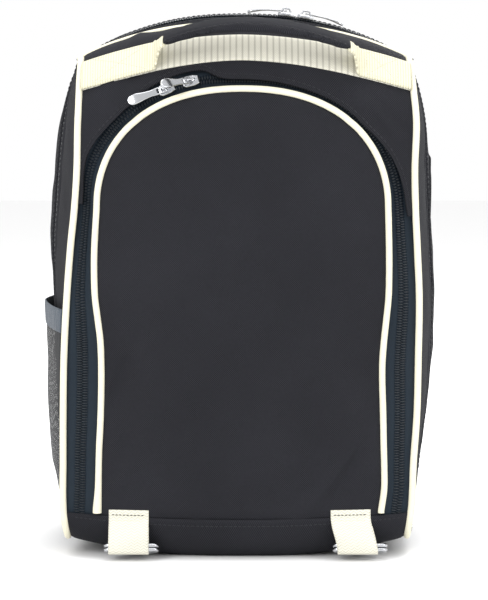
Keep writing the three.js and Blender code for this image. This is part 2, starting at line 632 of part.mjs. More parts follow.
// Arch panel: the flap inside the piping, a grid stretched between its four edges
{
  const [cornerLeft, cornerRight] = [0.385, 0.615];
  const inside = -SEAM_INSET;
  const footLeft = archAt(0, inside);
  const footRight = archAt(1, inside);
  const bottom = (u) => {
    const x = mix(footLeft.x, footRight.x, u);
    return [x, bandTop(x) + GAP / 2];
  };
  const edge = (along) => {
    const { x, s } = archAt(along, inside);
    return [x, s];
  };
  const startOf = (side) => (side < 0 ? [footLeft.x, bottom(0)[1]] : [footRight.x, bottom(1)[1]]);
  const leg = (side, v) => {
    if (v === 0) return startOf(side);
    return side < 0 ? edge(mix(0.004, cornerLeft, v)) : edge(mix(0.996, cornerRight, v));
  };
  const top = (u) => edge(mix(cornerLeft, cornerRight, u));
  const surface = (u, v, depth) => {
    const [b, t, l, r] = [bottom(u), top(u), leg(-1, v), leg(1, v)];
    const [bl, br, tl, tr] = [bottom(0), bottom(1), top(0), top(1)];
    const [x, s] = [0, 1].map((i) => (1 - v) * b[i] + v * t[i] + (1 - u) * l[i] + u * r[i]
      - (1 - u) * (1 - v) * bl[i] - u * (1 - v) * br[i] - (1 - u) * v * tl[i] - u * v * tr[i]);
    return front(x, s, depth);
  };
  addPiece('arch_panel', panel(surface, spread(0, 1, 12), spread(0, 1, 12)), 'cloth');
}

// Pipings
{
  addPiece('arch_piping', roundBar(archStations.map((along) => onArch(along, 0, 0)), PIPING_DIAMETER / 2, 6, CORE), 'cream');
}

// Lengths along the seam line where what follows the front edges has its corners.
const edgeStations = [
  ...spread(BASE_RUN - BASE_RADIUS, BASE_RUN, 1), ...spread(BASE_RUN, FRONT_FROM, 5).slice(1),
  ...spread(FRONT_FROM, ROOF_FROM, 11).slice(1), ...spread(ROOF_FROM, ROOF_TO, 7).slice(1),
];

// The edge piping: up the left edge, round the corner, across the top seam, and down on the right.
{
  const side = (sign) => edgeStations.map((s) => [edgeX(sign, s), s]);
  const corner = (sign) => spread(0, QUARTER, 4).map((turn) => {
    const s = TOP_SEAM - SEAM_CORNER + SEAM_CORNER * Math.sin(turn);
    return [edgeX(sign, s) - sign * SEAM_CORNER * (1 - Math.cos(turn)), s];
  });
  const ends = [-1, 1].map((sign) => edgeX(sign, TOP_SEAM) - sign * SEAM_CORNER);
  const across = spread(ends[0], ends[1], 14).slice(1, -1).map((x) => [x, TOP_SEAM]);
  const line = [...side(-1), ...corner(-1), ...across, ...corner(1).reverse(), ...side(1).reverse()];
  addPiece('edge_piping',
    roundBar(line.map(([x, s]) => frontSkin(x, s)), PIPING_DIAMETER / 2, 6, CORE), 'cream');
}

// Top panel: between the zipper and the edge piping
{
  const centre = [archMiddle, lengthAt(archMiddle, CORNER_HEIGHT * ARCH_LEGS.at(-1).height)];
  const inner = (along) => {
    const { x, s } = archAt(along, Math.min(zip('cover', along), room(along) - SEAM_INSET - 1));
    return [x, s];
  };
  // Distance of a point of the cut from the line of the edge piping.
  const toEdge = (x, s) => {
    const aside = Math.abs(edgeX(Math.sign(x) || 1, s)) - Math.abs(x);
    const ahead = TOP_SEAM - s;
    if (aside > SEAM_CORNER || ahead > SEAM_CORNER) return Math.min(aside, ahead);
    return SEAM_CORNER - Math.hypot(SEAM_CORNER - aside, SEAM_CORNER - ahead);
  };
  const outer = (from) => {
    const ray = [from[0] - centre[0], from[1] - centre[1]];
    let [near, far] = [1, 4];
    for (let i = 0; i < 40; i += 1) {
      const middle = (near + far) / 2;
      if (toEdge(centre[0] + ray[0] * middle, centre[1] + ray[1] * middle) > SEAM_INSET) near = middle;
      else far = middle;
    }
    return [centre[0] + ray[0] * near, centre[1] + ray[1] * near];
  };
  const cornerAlong = (sign) => {
    let [low, high] = sign < 0 ? [TOP_PANEL_FROM, 0.5] : [0.5, TOP_PANEL_TO];
    const heading = (along) => {
      const [x, s] = inner(along);
      return Math.atan2(s - centre[1], x - centre[0]);
    };
    const goal = Math.atan2(TOP_SEAM - SEAM_INSET - 2 - centre[1],
      edgeX(sign, TOP_SEAM) - sign * (SEAM_INSET + 2) - centre[0]);
    for (let i = 0; i < 40; i += 1) {
      const middle = (low + high) / 2;
      if (heading(middle) > goal) low = middle;
      else high = middle;
    }
    return (low + high) / 2;
  };
  const [left, right] = [cornerAlong(-1), cornerAlong(1)];
  const stations = [
    ...spread(TOP_PANEL_FROM, left, 8), ...spread(left, 0.5, 9).slice(1),
    ...spread(0.5, right, 8).slice(1), ...spread(right, TOP_PANEL_TO, 8).slice(1),
  ];
  const surface = (along, share, depth) => {
    const a = inner(along);
    const b = outer(a);
    return front(mix(a[0], b[0], share), mix(a[1], b[1], share), depth);
  };
  addPiece('top_panel', panel(surface, [0, 0.14, 0.38, 0.68, 1], stations), 'cloth');
}

// Front zipper: two tapes and a coil
{
  const roomy = (along) => along > TOP_PANEL_FROM + 0.06 && along < TOP_PANEL_TO - 0.06;
  const coilMiddle = (along) => {
    const wanted = zip('coil', along);
    return roomy(along) ? wanted : Math.min(wanted, room(along) - WALL - 0.6 - zip('half', along));
  };
  const coilPoint = (along, across, depth) => onArch(along, coilMiddle(along) + across, zip('sunk', along) + depth);
  const foot = 0.004;
  const inArch = archStations.map((along) => clamp(along, foot, 1 - foot));
  const coilRings = inArch.map((along) => {
    const half = zip('half', along);
    return [
      coilPoint(along, -half, 0.9), coilPoint(along, -half * 0.55, 0), coilPoint(along, half * 0.55, 0),
      coilPoint(along, half, 0.9), coilPoint(along, half, COIL_HEIGHT - 0.4), coilPoint(along, -half, COIL_HEIGHT - 0.4),
    ];
  });
  addPiece('front_zip_coil', loftSolid(coilRings), 'coil');

  const innerTape = (share, along, depth) => {
    const to = coilMiddle(along) - zip('half', along) - GAP;
    const from = Math.min(SEAM_INSET, to - 1.2);
    return onArch(along, mix(from, to, share), zip('sunk', along) + 0.8 + depth);
  };
  addPiece('front_zip_tape_inner', panel(innerTape, inArch, [0, 1], 0, TAPE), 'tape');

  const outerTape = (share, along, depth) => {
    const from = coilMiddle(along) + zip('half', along) + GAP;
    const to = Math.max(from + 0.6, room(along) - SEAM_INSET);
    return onArch(along, mix(from, to, share), zip('sunk', along) + 0.8 + depth);
  };
  const wideEnough = (along) => room(along) - SEAM_INSET - coilMiddle(along) - zip('half', along) > GAP + 0.8;
  for (const [name, side] of [['left', -1], ['right', 1]]) {
    const upward = inArch.filter((along) => (side < 0 ? along < TOP_PANEL_FROM : along > TOP_PANEL_TO));
    if (side > 0) upward.reverse();
    const stop = upward.findIndex((along) => !wideEnough(along));
    const rows = stop < 0 ? upward : upward.slice(0, stop);
    addPiece(`front_zip_tape_outer_${name}`, panel(outerTape, rows, [0, 1], 0, TAPE), 'tape');
  }
}

// Side walls of the front section
for (const [name, side] of [['left', -1], ['right', 1]]) {
  const skin = sideOf[name];
  const rows = edgeStations.slice(1);
  const surface = (share, s, depth) => {
    const line = seamLine(s);
    const y = mix(line.y - line.outY * SEAM_INSET, SEAM_Y - GAP / 2, share);
    return skin(y, line.z - line.outZ * SEAM_INSET, depth);
  };
  addPiece(`front_side_${name}`, panel(surface, rows, [0, 0.45, 1]), 'cloth');
}

// Strips of the rear section on both sides of the main zipper
const slotAt = (z) => mix(GAP / 2, MAIN_ZIP_SLOT, ease(z, MAIN_ZIP_END - 6, MAIN_ZIP_END + 4));
const baseStation = 3 - SEAM_INSET / (SIDE_RUN - SHOULDER_RADIUS);
const endStation = stationAt(MAIN_ZIP_END);
const mirrored = (list) => [...list.map((k) => -k).reverse(), ...list.slice(1)];
const rearStations = mirrored([
  ...spread(0, 1, 5), ...spread(1, 2, 3).slice(1), ...spread(2, endStation - 0.01, 4).slice(1),
  endStation, endStation + 0.02, ...spread(endStation + 0.03, baseStation, 4).slice(1),
]);
const heightAt = (station, y) => rearSkin(station, y).z;

{
  const frontEdge = (station) => SEAM_Y + mix(SEAM_INSET, GAP / 2, ease(Math.abs(station), 1.5, 2.0));
  const strip = (station, share, depth) => {
    const y = mix(frontEdge(station), ZIP_Y - slotAt(heightAt(station, ZIP_Y)), share);
    return rear(station, y, depth);
  };
  addPiece('gusset_front', panel(strip, [0, 1], rearStations), 'cloth');
  const wide = (station, share, depth) => {
    const y = mix(ZIP_Y + slotAt(heightAt(station, ZIP_Y)), BACK_Y - SEAM_INSET, share);
    return rear(station, y, depth);
  };
  addPiece('gusset_rear', panel(wide, [0, 0.3, 0.65, 1], rearStations), 'cloth');
}

// Main zipper
{
  const zipStations = mirrored([
    ...spread(0, 1, 5), ...spread(1, 2, 3).slice(1), ...spread(2, stationAt(MAIN_ZIP_END + 6), 5).slice(1),
  ]);
  const tape = (sign) => (station, share, depth) => {
    const y = ZIP_Y + sign * mix(MAIN_ZIP_COIL / 2 + GAP, MAIN_ZIP_SLOT - GAP, share);
    return rear(station, y, depth);
  };
  addPiece('main_zip_tape_front', panel(tape(-1), [0, 1], zipStations, 0.9, TAPE), 'tape');
  addPiece('main_zip_tape_rear', panel(tape(1), [0, 1], zipStations, 0.9, TAPE), 'tape');
  const half = MAIN_ZIP_COIL / 2;
  const section = [
    [-half, 0.9], [-half * 0.55, 0], [half * 0.55, 0], [half, 0.9], [half, COIL_HEIGHT - 0.4], [-half, COIL_HEIGHT - 0.4],
  ];
  const rings = zipStations.map((station) => section.map(([across, depth]) => rear(station, ZIP_Y + across, depth)));
  addPiece('main_zip_coil', loftSolid(rings), 'coil');
}

// Back panel and its piping
const backOutline = (() => {
  const cornerCut = 9;
  const over = mirrored([...spread(0, 1, 4), ...spread(1, 2, 3).slice(1), ...spread(2, 3 - cornerCut / SIDE_RUN, 6).slice(1)]);
  const ring = over.map((station) => rearSkin(station, BACK_Y));
  const corner = (side) => rearSkin(side * 3, BACK_Y);
  const cutLeft = corner(-1).x + cornerCut;
  const cutRight = corner(1).x - cornerCut;
  const under = spread(cutRight, cutLeft, 8).map((x) => frontSkin(x, 0));
  const rounded = (side, from, to) => corner(side).multiplyScalar(2).add(from).add(to).divideScalar(4);
  return [
    ...ring, rounded(1, ring.at(-1), under[0]), ...under, rounded(-1, under.at(-1), ring[0]),
  ];
})();

const backMiddle = new THREE.Vector3(0, BACK_Y, CORNER_HEIGHT * 0.53);
const rimPoints = backOutline.map((point, i) => {
  const before = backOutline.at(i - 1);
  const after = backOutline[(i + 1) % backOutline.length];
  const along = after.clone().sub(before).setY(0).normalize();
  return point.clone().add(new THREE.Vector3(along.z, 0, -along.x).multiplyScalar(SEAM_INSET));
});
const backSwell = (share) => BACK_CROWN * (1 - share ** 2.6);

// Y of the outside of the back panel at x, z.
function backAt(x, z) {
  const [dx, dz] = [x, z - backMiddle.z];
  const shares = rimPoints.map((a, i) => {
    const b = rimPoints[(i + 1) % rimPoints.length];
    const [ax, az, ex, ez] = [a.x, a.z - backMiddle.z, b.x - a.x, b.z - a.z];
    const cross = dx * ez - dz * ex;
    const [reach, t] = [(ax * ez - az * ex) / cross, (ax * dz - az * dx) / cross];
    return reach > 0 && t >= 0 && t <= 1 ? 1 / reach : 0;
  });
  return BACK_Y + backSwell(clamp(Math.max(...shares), 0, 1));
}

{
  const reach = [0.45, 0.78, 0.94, 1];
  const spoke = (point, share, depth) => {
    const out = backMiddle.clone().lerp(point, share);
    out.y += backSwell(share) - depth;
    return out;
  };
  const layer = (depth) => reach.map((share) => rimPoints.map((point) => spoke(point, share, depth)));
  const [outer, inner] = [layer(0), layer(WALL)];
  const count = backOutline.length;
  const points = [...outer.flat(), ...inner.flat()];
  const under = reach.length * count;
  const faces = [];
  const quad = (a, b, c, d) => faces.push([a, b, c], [a, c, d]);
  for (let r = 0; r < reach.length - 1; r += 1) {
    for (let i = 0; i < count; i += 1) {
      const j = (i + 1) % count;
      quad(r * count + i, r * count + j, (r + 1) * count + j, (r + 1) * count + i);
      quad(under + r * count + i, under + (r + 1) * count + i, under + (r + 1) * count + j, under + r * count + j);
    }
  }
  const rim = (reach.length - 1) * count;
  const outerMiddle = points.push(new THREE.Vector3(0, BACK_Y + BACK_CROWN, backMiddle.z)) - 1;
  const innerMiddle = points.push(new THREE.Vector3(0, BACK_Y + BACK_CROWN - WALL, backMiddle.z)) - 1;
  for (let i = 0; i < count; i += 1) {
    const j = (i + 1) % count;
    quad(rim + i, rim + j, under + rim + j, under + rim + i);
    faces.push([outerMiddle, j, i], [innerMiddle, under + i, under + j]);
  }
  addPiece('back_panel', solidGeometry(points, faces), 'cloth');
  addPiece('back_piping', roundBar(backOutline, PIPING_DIAMETER / 2, 6, CORE, true), 'cream');
}

// Webbing across the top, the handle and its grip

// Length where the lower edge of the webbing lies at x, and its upper edge.
function webbingEdges(x) {
  const f = clamp(Math.abs(x) / Math.abs(edgeX(Math.sign(x) || 1, ROOF_FROM + 20)), 0, 1);
  const low = ROOF_FROM + TOP_RADIUS * mix(WEBBING_LOW_MIDDLE, WEBBING_LOW_END, f ** 1.6);
  const perLength = frontSkin(x, low + 12).distanceTo(frontSkin(x, low + 11));
  return [low, low + BAND_WEBBING / perLength];
}

const webbingMiddle = (x) => (webbingEdges(x)[0] + webbingEdges(x)[1]) / 2;
const webbingEnd = (side) => edgeX(side, ROOF_FROM + 26) - side * (SEAM_INSET + 0.6);

{
  const columns = spread(webbingEnd(-1), webbingEnd(1), 18);
  const surface = (share, x, depth) => {
    const [low, high] = webbingEdges(x);
    return front(x, mix(low, high, share), depth);
  };
  addPiece('top_webbing', panel(surface, columns, spread(0, 1, 3), -WEBBING_LIFT, WEBBING), 'cream');
}

// The handle webbing lies on the webbing below it, turns up before the grip and runs through it.
const GRIP_MIDDLE = (GRIP_LEFT + GRIP_RIGHT) / 2;
const gripFloat = (x) => GRIP_FLOAT + GRIP_ARCH * (1 - ((x - GRIP_MIDDLE) / (GRIP_RIGHT - GRIP_MIDDLE)) ** 2);

function handlePoint(x, rise, across, depth) {
  const s = webbingMiddle(x);
  const out = frontOut(x, s);
  const level = GRIP_FLATTEN * ease(rise, WEBBING_LIFT + GAP + WEBBING, GRIP_FLOAT);
  const along = frontSkin(x, s + 0.5).sub(frontSkin(x, s - 0.5)).normalize()
    .lerp(new THREE.Vector3(0, 1, 0), level).normalize();
  return frontSkin(x, s).addScaledVector(out, rise - depth).addScaledVector(along, across);
}

{
  const lying = WEBBING_LIFT + GAP + WEBBING;
  const bend = 9;
  const rows = [
    ...spread(webbingEnd(-1), GRIP_LEFT - bend, 6).map((x) => ({ x, rise: lying, half: BAND_WEBBING / 2 })),
    ...spread(0, 1, 5).slice(1).map((t) => ({
      x: GRIP_LEFT - bend + bend * t,
      rise: mix(lying, gripFloat(GRIP_LEFT) + WEBBING / 2, ease(t, 0, 1)),
      half: mix(BAND_WEBBING, GRIP_WEBBING, t) / 2,
    })),
    ...spread(GRIP_LEFT, GRIP_RIGHT, 8).slice(1)
      .map((x) => ({ x, rise: gripFloat(x) + WEBBING / 2, half: GRIP_WEBBING / 2 })),
    ...spread(0, 1, 5).slice(1).map((t) => ({
      x: GRIP_RIGHT + bend * t,
      rise: mix(gripFloat(GRIP_RIGHT) + WEBBING / 2, lying, ease(t, 0, 1)),
      half: mix(GRIP_WEBBING, BAND_WEBBING, t) / 2,
    })),
    ...spread(GRIP_RIGHT + bend, webbingEnd(1), 5).slice(1).map((x) => ({ x, rise: lying, half: BAND_WEBBING / 2 })),
  ];
  // Flat on the band the webbing bends with it, and in the grip it is straight across.
  const followed = (row, share, depth) => {
    const lift = ease(row.rise, lying, lying + 4);
    const [low, high] = webbingEdges(row.x);
    const onBand = front(row.x, mix(low, high, share), depth - row.rise);
    const free = handlePoint(row.x, row.rise, mix(-row.half, row.half, share), depth);
    return onBand.lerp(free, lift);
  };
  const layer = (depth) => rows.map((row) => spread(0, 1, 3).map((share) => followed(row, share, depth)));
  addPiece('handle_strap', sheetSolid(layer(0), layer(WEBBING)), 'cream');
}

{
  const hollowHalf = GRIP_WEBBING / 2 + GAP;
  const hollowThick = WEBBING / 2 + GRIP_ROOM;
  const outline = (half, thick, round) => [
    [-half, -thick + round], [-half + round, -thick], [half - round, -thick], [half, -thick + round],
    [half, thick - round], [half - round, thick], [-half + round, thick], [-half, thick - round],
  ];
  const ringAt = (shape) => (x) => shape.map(([across, up]) => handlePoint(x, gripFloat(x), across, -up));
  const outer = outline(GRIP_WIDTH / 2, GRIP_THICKNESS / 2, 2.2);
  const hollow = outline(hollowHalf, hollowThick, 0.4);
  const stations = spread(GRIP_LEFT + 1, GRIP_RIGHT - 1, 9);
  const geometry = sheetSolid(stations.map(ringAt(outer)), stations.map(ringAt(hollow)), true);
  addPiece('handle_grip', geometry, 'cloth');
}

// Tabs and their double rings

// A ring: a straight bar across x, and a bow that reaches back from it.
function ringPath(barX, barY, barZ, fall) {
  const half = (RING_INSIDE + RING_WIRE) / 2;
  const reach = RING_REACH - RING_WIRE;
  const outline = [
    [-half, 0.14], [-half * 0.93, 0.02], [-half * 0.8, 0], [0, 0], [half * 0.8, 0], [half * 0.93, 0.02],
    [half, 0.14], [half * 0.97, 0.42], [half * 0.78, 0.75], [half * 0.42, 0.95], [0, 1],
    [-half * 0.42, 0.95], [-half * 0.78, 0.75], [-half * 0.97, 0.42],
  ];
  return outline.map(([x, back]) => new THREE.Vector3(barX + x, barY + back * reach, barZ - back * fall));
}

function addTab(name, middle, lean) {
  const barGap = RING_WIRE + GAP;
  const lowBar = TAB_BOTTOM + WEBBING + GAP + RING_WIRE / 2;
  const tabY = FRONT_Y - TAB_STAND_OFF;
  const barY = tabY + WEBBING + TAB_DEPTH / 2;
  const foldRadius = TAB_DEPTH / 2;
  // Middle line of the webbing in side view, from the stitched top down, round the bars and up again.
  const topFront = front(middle, lengthAt(middle, TAB_TOP), -GAP - WEBBING);
  const seamFront = front(middle, lengthAt(middle, BAND_HEIGHT - 3), -GAP - WEBBING);
  const backTop = front(middle, lengthAt(middle, BAND_HEIGHT - 6), -GAP);
  const line = [
    [topFront.y, topFront.z], [seamFront.y, seamFront.z],
    [mix(seamFront.y, tabY, 0.75), mix(seamFront.z, lowBar, 0.4)],
    [tabY, lowBar + barGap + RING_WIRE], [tabY, lowBar],
    ...spread(0, Math.PI, 6).slice(1, -1).map((turn) => [
      barY - (foldRadius + WEBBING) * Math.cos(turn), lowBar - (foldRadius + WEBBING) * Math.sin(turn),
    ]),
    [barY + foldRadius + WEBBING, lowBar], [barY + foldRadius + WEBBING, lowBar + barGap + 1],
    [backTop.y - 0.4, backTop.z - 3],
  ];
  const inward = line.map((_, i) => {
    const [before, after] = [line[Math.max(0, i - 1)], line[Math.min(line.length - 1, i + 1)]];
    const [dy, dz] = [after[0] - before[0], after[1] - before[1]];
    const length = Math.hypot(dy, dz);
    return [-dz / length, dy / length];
  });
  const leanAt = (z) => lean * ease(TAB_TOP - z, 4, TAB_TOP - TAB_BOTTOM);
  // Against the body the webbing follows the swelling of the cloth, and its hanging fold is straight.
  const swelling = (x, z) => (frontSkin(x, lengthAt(x, z)).y - frontSkin(middle, lengthAt(middle, z)).y)
    * ease(z, TAB_BOTTOM + TAB_DEPTH, BAND_HEIGHT - 8);
  const layer = (depth) => line.map(([y, z], i) => [-1, 0, 1].map((sideSign) => {
    const x = middle + leanAt(z) + sideSign * TAB_WIDTH / 2;
    return new THREE.Vector3(x, y + swelling(x, z) + inward[i][0] * depth, z + inward[i][1] * depth);
  }));
  addPiece(`tab_${name}`, sheetSolid(layer(0), layer(WEBBING)), 'cream');
  const ringX = middle + leanAt(lowBar) + (RING_INSIDE - TAB_WIDTH) / 2 - 0.6;
  const inRing = new THREE.Vector3(ringX, barY + RING_REACH / 2, lowBar - RING_WIRE);
  const rings = [['lower', lowBar, 4.9], ['upper', lowBar + barGap, 5.0]];
  for (const [place, height, fall] of rings) {
    const path = ringPath(ringX, barY, height, fall);
    addPiece(`ring_${name}_${place}`, roundBar(path, RING_WIRE / 2, 6, inRing, true), 'metal');
  }
}

addTab('left', TAB_LEFT * EDGE_HALF_WIDTH, 0);
addTab('right', TAB_RIGHT * EDGE_HALF_WIDTH, TAB_RIGHT_LEAN);

// Mesh pocket and its elastic binding on the left side
{
  const skin = sideOf.left;
  // Clear space between the mesh and the side: closed along its three sewn edges.
  const clear = (y, z) => {
    const across = clamp((y - POCKET_FRONT_Y) / (POCKET_BACK_Y - POCKET_FRONT_Y), 0, 1);
    const up = clamp((z - POCKET_BOTTOM) / (POCKET_TOP - POCKET_BOTTOM), 0, 1);
    const belly = POCKET_ROOM + POCKET_BULGE * Math.sin(Math.PI * clamp(up * 1.25, 0, 1));
    return GAP + belly * Math.sin(Math.PI * across) ** 0.5 * Math.min(1, up * 5) ** 0.7;
  };
  const columns = spread(POCKET_FRONT_Y, POCKET_BACK_Y, 8);
  const mesh = (thickness) => (y, z, depth) => skin(y, z, -clear(y, z) - thickness + depth);
  const rows = spread(POCKET_BOTTOM, POCKET_TOP, 5);
  addPiece('mesh_pocket', panel(mesh(MESH), rows, columns, 0, MESH), 'mesh');
  const bindingRows = [POCKET_TOP + GAP, POCKET_TOP + POCKET_BINDING];
  addPiece('mesh_binding', panel(mesh(BINDING), bindingRows, columns, 0, BINDING), 'binding');
}

// Shoulder straps, their buckles, lower webbing and anchors
function addStrap(name, side) {
  const rows = STRAP_ROWS[name];
  const centres = rows.map((row) => new THREE.Vector3(
    side * row.across * BELLY_HALF_WIDTH, BACK_Y + row.out * BODY_DEPTH, row.height * CORNER_HEIGHT,
  ));
  const steps = 13;
  const share = (column, t) => {
    const at = t * (rows.length - 1);
    const i = Math.min(rows.length - 2, Math.floor(at));
    return mix(rows[i][column], rows[i + 1][column], at - i);
  };
  let path = curveThrough(centres);
  const frameAt = (t) => {
    const along = path.getTangent(t);
    const flat = new THREE.Vector3(1, 0, 0).addScaledVector(along, -along.x).normalize();
    const out = along.clone().cross(flat).normalize();
    return { centre: path.getPoint(t), flat, out };
  };
  const ringAt = (t) => {
    const { centre, flat, out } = frameAt(t);
    const half = STRAP_WIDTH / 2 * share('width', t);
    const thick = STRAP_THICKNESS / 2 * share('thick', t);
    const section = [
      [-1, -0.35], [-0.8, -1], [0, -1.06], [0.8, -1], [1, -0.35], [1, 0.35], [0.8, 1], [0, 1.06], [-0.8, 1], [-1, 0.35],
    ];
    return section.map(([a, b]) => centre.clone().addScaledVector(flat, a * half).addScaledVector(out, b * thick));
  };
  // The upper end is sewn to the back panel.
  for (let i = 0; i < 4; i += 1) {
    centres[0].y -= Math.min(...ringAt(0).map((p) => p.y - backAt(p.x, p.z))) - GAP;
    path = curveThrough(centres);
  }
  addPiece(`shoulder_strap_${name}`, loftSolid(spread(0, 1, steps).map(ringAt)), 'cloth');

  // Ladder-lock buckle just below the pad, a frame with two windows.
  const end = frameAt(1);
  const down = path.getTangent(1).normalize();
  const [buckleWide, buckleTall] = [STRAP_WEBBING + 10, 22];
  const shape = new THREE.Shape();
  shape.moveTo(-buckleWide / 2, 0);
  shape.lineTo(buckleWide / 2, 0);
  shape.lineTo(buckleWide / 2 - 1.5, buckleTall);
  shape.lineTo(-buckleWide / 2 + 1.5, buckleTall);
  shape.closePath();
  for (const from of [3.5, 12.5]) {
    const window = new THREE.Path();
    window.moveTo(-STRAP_WEBBING / 2 - 1, from);
    window.lineTo(-STRAP_WEBBING / 2 - 1, from + 6);
    window.lineTo(STRAP_WEBBING / 2 + 1, from + 6);
    window.lineTo(STRAP_WEBBING / 2 + 1, from);
    window.closePath();
    shape.holes.push(window);
  }
  const buckle = new THREE.ExtrudeGeometry(shape, { depth: BUCKLE_THICKNESS, bevelEnabled: false });
  buckle.translate(0, GAP, -BUCKLE_THICKNESS / 2);
  const place = new THREE.Matrix4().makeBasis(end.flat, down, end.flat.clone().cross(down));
  place.setPosition(end.centre);
  buckle.applyMatrix4(place);
  addPiece(`strap_buckle_${name}`, buckle, 'plastic');

  // Lower webbing, from the buckle to the anchor at the bottom of the back seam.
  const outward = end.flat.clone().cross(down);
  const lift = outward.y > 0 ? 1 : -1;
  const start = end.centre.clone().addScaledVector(down, GAP + buckleTall / 2)
    .addScaledVector(outward, -lift * (BUCKLE_THICKNESS / 2 + GAP + WEBBING / 2));
  const anchor = new THREE.Vector3(side * ANCHOR_ACROSS * BELLY_HALF_WIDTH, BACK_Y + 12, ANCHOR_HEIGHT);
  const webbingPath = curveThrough([
    start, start.clone().addScaledVector(down, buckleTall / 2 + 6).add(new THREE.Vector3(0, -1, 0)),
    start.clone().lerp(anchor, 0.62).add(new THREE.Vector3(0, -3, 0)), anchor,
  ]);
  const band = spread(0, 1, 7).map((t) => {
    const centre = webbingPath.getPointAt(t);
    const along = webbingPath.getTangentAt(t);
    const flat = new THREE.Vector3(-along.z, 0, along.x).normalize();
    return [-1, 1].map((sign) => centre.clone().addScaledVector(flat, sign * STRAP_WEBBING / 2));
  });
  const depthwise = (points, offset) => points.map((row) => row.map((p) => p.clone().setY(p.y + offset)));
  addPiece(`strap_webbing_${name}`, sheetSolid(depthwise(band, WEBBING / 2), depthwise(band, -WEBBING / 2)), 'cloth');

  // Anchor: a folded triangle of cloth sewn to the back panel.
  const covered = webbingPath.getPointAt(0.94);
  const lowEnd = (z, half) => Math.max(...[-half, 0, half].map((a) => backAt(anchor.x + a, z))) + GAP;
  const anchorRow = (x, z, half, y) => [-1, 1].map((sign) => new THREE.Vector3(x + sign * half, y, z));
  const [seamHalf, midHalf] = [STRAP_WEBBING / 2 + 8, STRAP_WEBBING / 2 + 5];
  const anchorRows = [
    anchorRow(covered.x, covered.z, STRAP_WEBBING / 2 + 1, covered.y + WEBBING / 2 + GAP * 2),
    anchorRow(anchor.x, ANCHOR_HEIGHT - 6, midHalf - 2, anchor.y + WEBBING / 2 + GAP * 2),
    anchorRow(anchor.x, ANCHOR_SEAM + 7, midHalf, lowEnd(ANCHOR_SEAM + 7, midHalf) + 1.5),
    anchorRow(anchor.x, ANCHOR_SEAM, seamHalf, lowEnd(ANCHOR_SEAM, seamHalf)),
  ];
  addPiece(`strap_anchor_${name}`, sheetSolid(depthwise(anchorRows, 2), anchorRows), 'cloth');
}

addStrap('left', -1);
addStrap('right', 1);

// Zipper sliders and their pulls

// A frame on the cloth: x along the zipper, y across it, z away from the cloth.
function frameOn(origin, along, out) {
  const x = along.clone().normalize();
  const z = out.clone().addScaledVector(x, -out.dot(x)).normalize();
  const y = z.clone().cross(x);
  return new THREE.Matrix4().makeBasis(x, y, z).setPosition(origin);
}

// Height of the bar that the pull turns on, above the bottom of the slider.
const BAR_HEIGHT = SLIDER_THICKNESS + 0.5 + PULL_BAR / 2;

function sliderGeometry() {
  const outline = [
    [-0.5, -0.30], [-0.32, -0.5], [0.18, -0.5], [0.5, -0.36], [0.5, 0.36], [0.18, 0.5], [-0.32, 0.5], [-0.5, 0.30],
  ];
  const ring = (z, scale) => outline.map(([x, y]) => new THREE.Vector3(
    x * SLIDER_LENGTH * scale, y * SLIDER_WIDTH * scale, z,
  ));
  const body = loftSolid([ring(0, 1), ring(SLIDER_THICKNESS - 0.6, 1), ring(SLIDER_THICKNESS, 0.9)]);
  const half = (CROWN_LENGTH - CROWN_WIRE) / 2;
  const top = SLIDER_THICKNESS + CROWN_HEIGHT - CROWN_WIRE / 2;
  const bridge = [
    [-half, SLIDER_THICKNESS - 0.9], [-half, SLIDER_THICKNESS + 0.8], [-half * 0.72, top - 0.25], [0, top],
    [half * 0.72, top - 0.25], [half, SLIDER_THICKNESS + 0.8], [half, SLIDER_THICKNESS - 0.9],
  ].map(([x, z]) => new THREE.Vector3(x, 0, z));
  const below = new THREE.Vector3(0, 0, -SLIDER_LENGTH);
  return toGeometry(toSolid(body).add(toSolid(roundBar(bridge, CROWN_WIRE / 2, 6, below))));
}

// The pull, its bar on the y axis and its plate reaching along -x.
function pullGeometry() {
  const eye = PULL_WINDOW + PULL_BAR;
  const shape = new THREE.Shape();
  const neck = PULL_WIDTH * 0.36;
  shape.moveTo(PULL_BAR / 2, -neck);
  shape.lineTo(PULL_BAR / 2, neck);
  shape.lineTo(-eye, neck);
  shape.quadraticCurveTo(-eye - 3, neck * 0.8, -PULL_LENGTH * 0.45, neck * 0.85);
  shape.quadraticCurveTo(-PULL_LENGTH * 0.6, PULL_WIDTH / 2, -PULL_LENGTH * 0.8, PULL_WIDTH / 2);
  shape.quadraticCurveTo(-PULL_LENGTH, PULL_WIDTH / 2, -PULL_LENGTH, 0);
  shape.quadraticCurveTo(-PULL_LENGTH, -PULL_WIDTH / 2, -PULL_LENGTH * 0.8, -PULL_WIDTH / 2);
  shape.quadraticCurveTo(-PULL_LENGTH * 0.6, -PULL_WIDTH / 2, -PULL_LENGTH * 0.45, -neck * 0.85);
  shape.quadraticCurveTo(-eye - 3, -neck * 0.8, -eye, -neck);
  shape.closePath();
  const window = new THREE.Path();
  const halfWindow = neck - 0.9;
  window.moveTo(-PULL_BAR / 2, -halfWindow);
  window.lineTo(-PULL_BAR / 2 - PULL_WINDOW, -halfWindow);
  window.lineTo(-PULL_BAR / 2 - PULL_WINDOW, halfWindow);
  window.lineTo(-PULL_BAR / 2, halfWindow);
  window.closePath();
  shape.holes.push(window);
  return new THREE.ExtrudeGeometry(shape, { depth: PULL_THICKNESS, bevelEnabled: false, curveSegments: 3 })
    .translate(0, 0, -PULL_THICKNESS / 2);
}

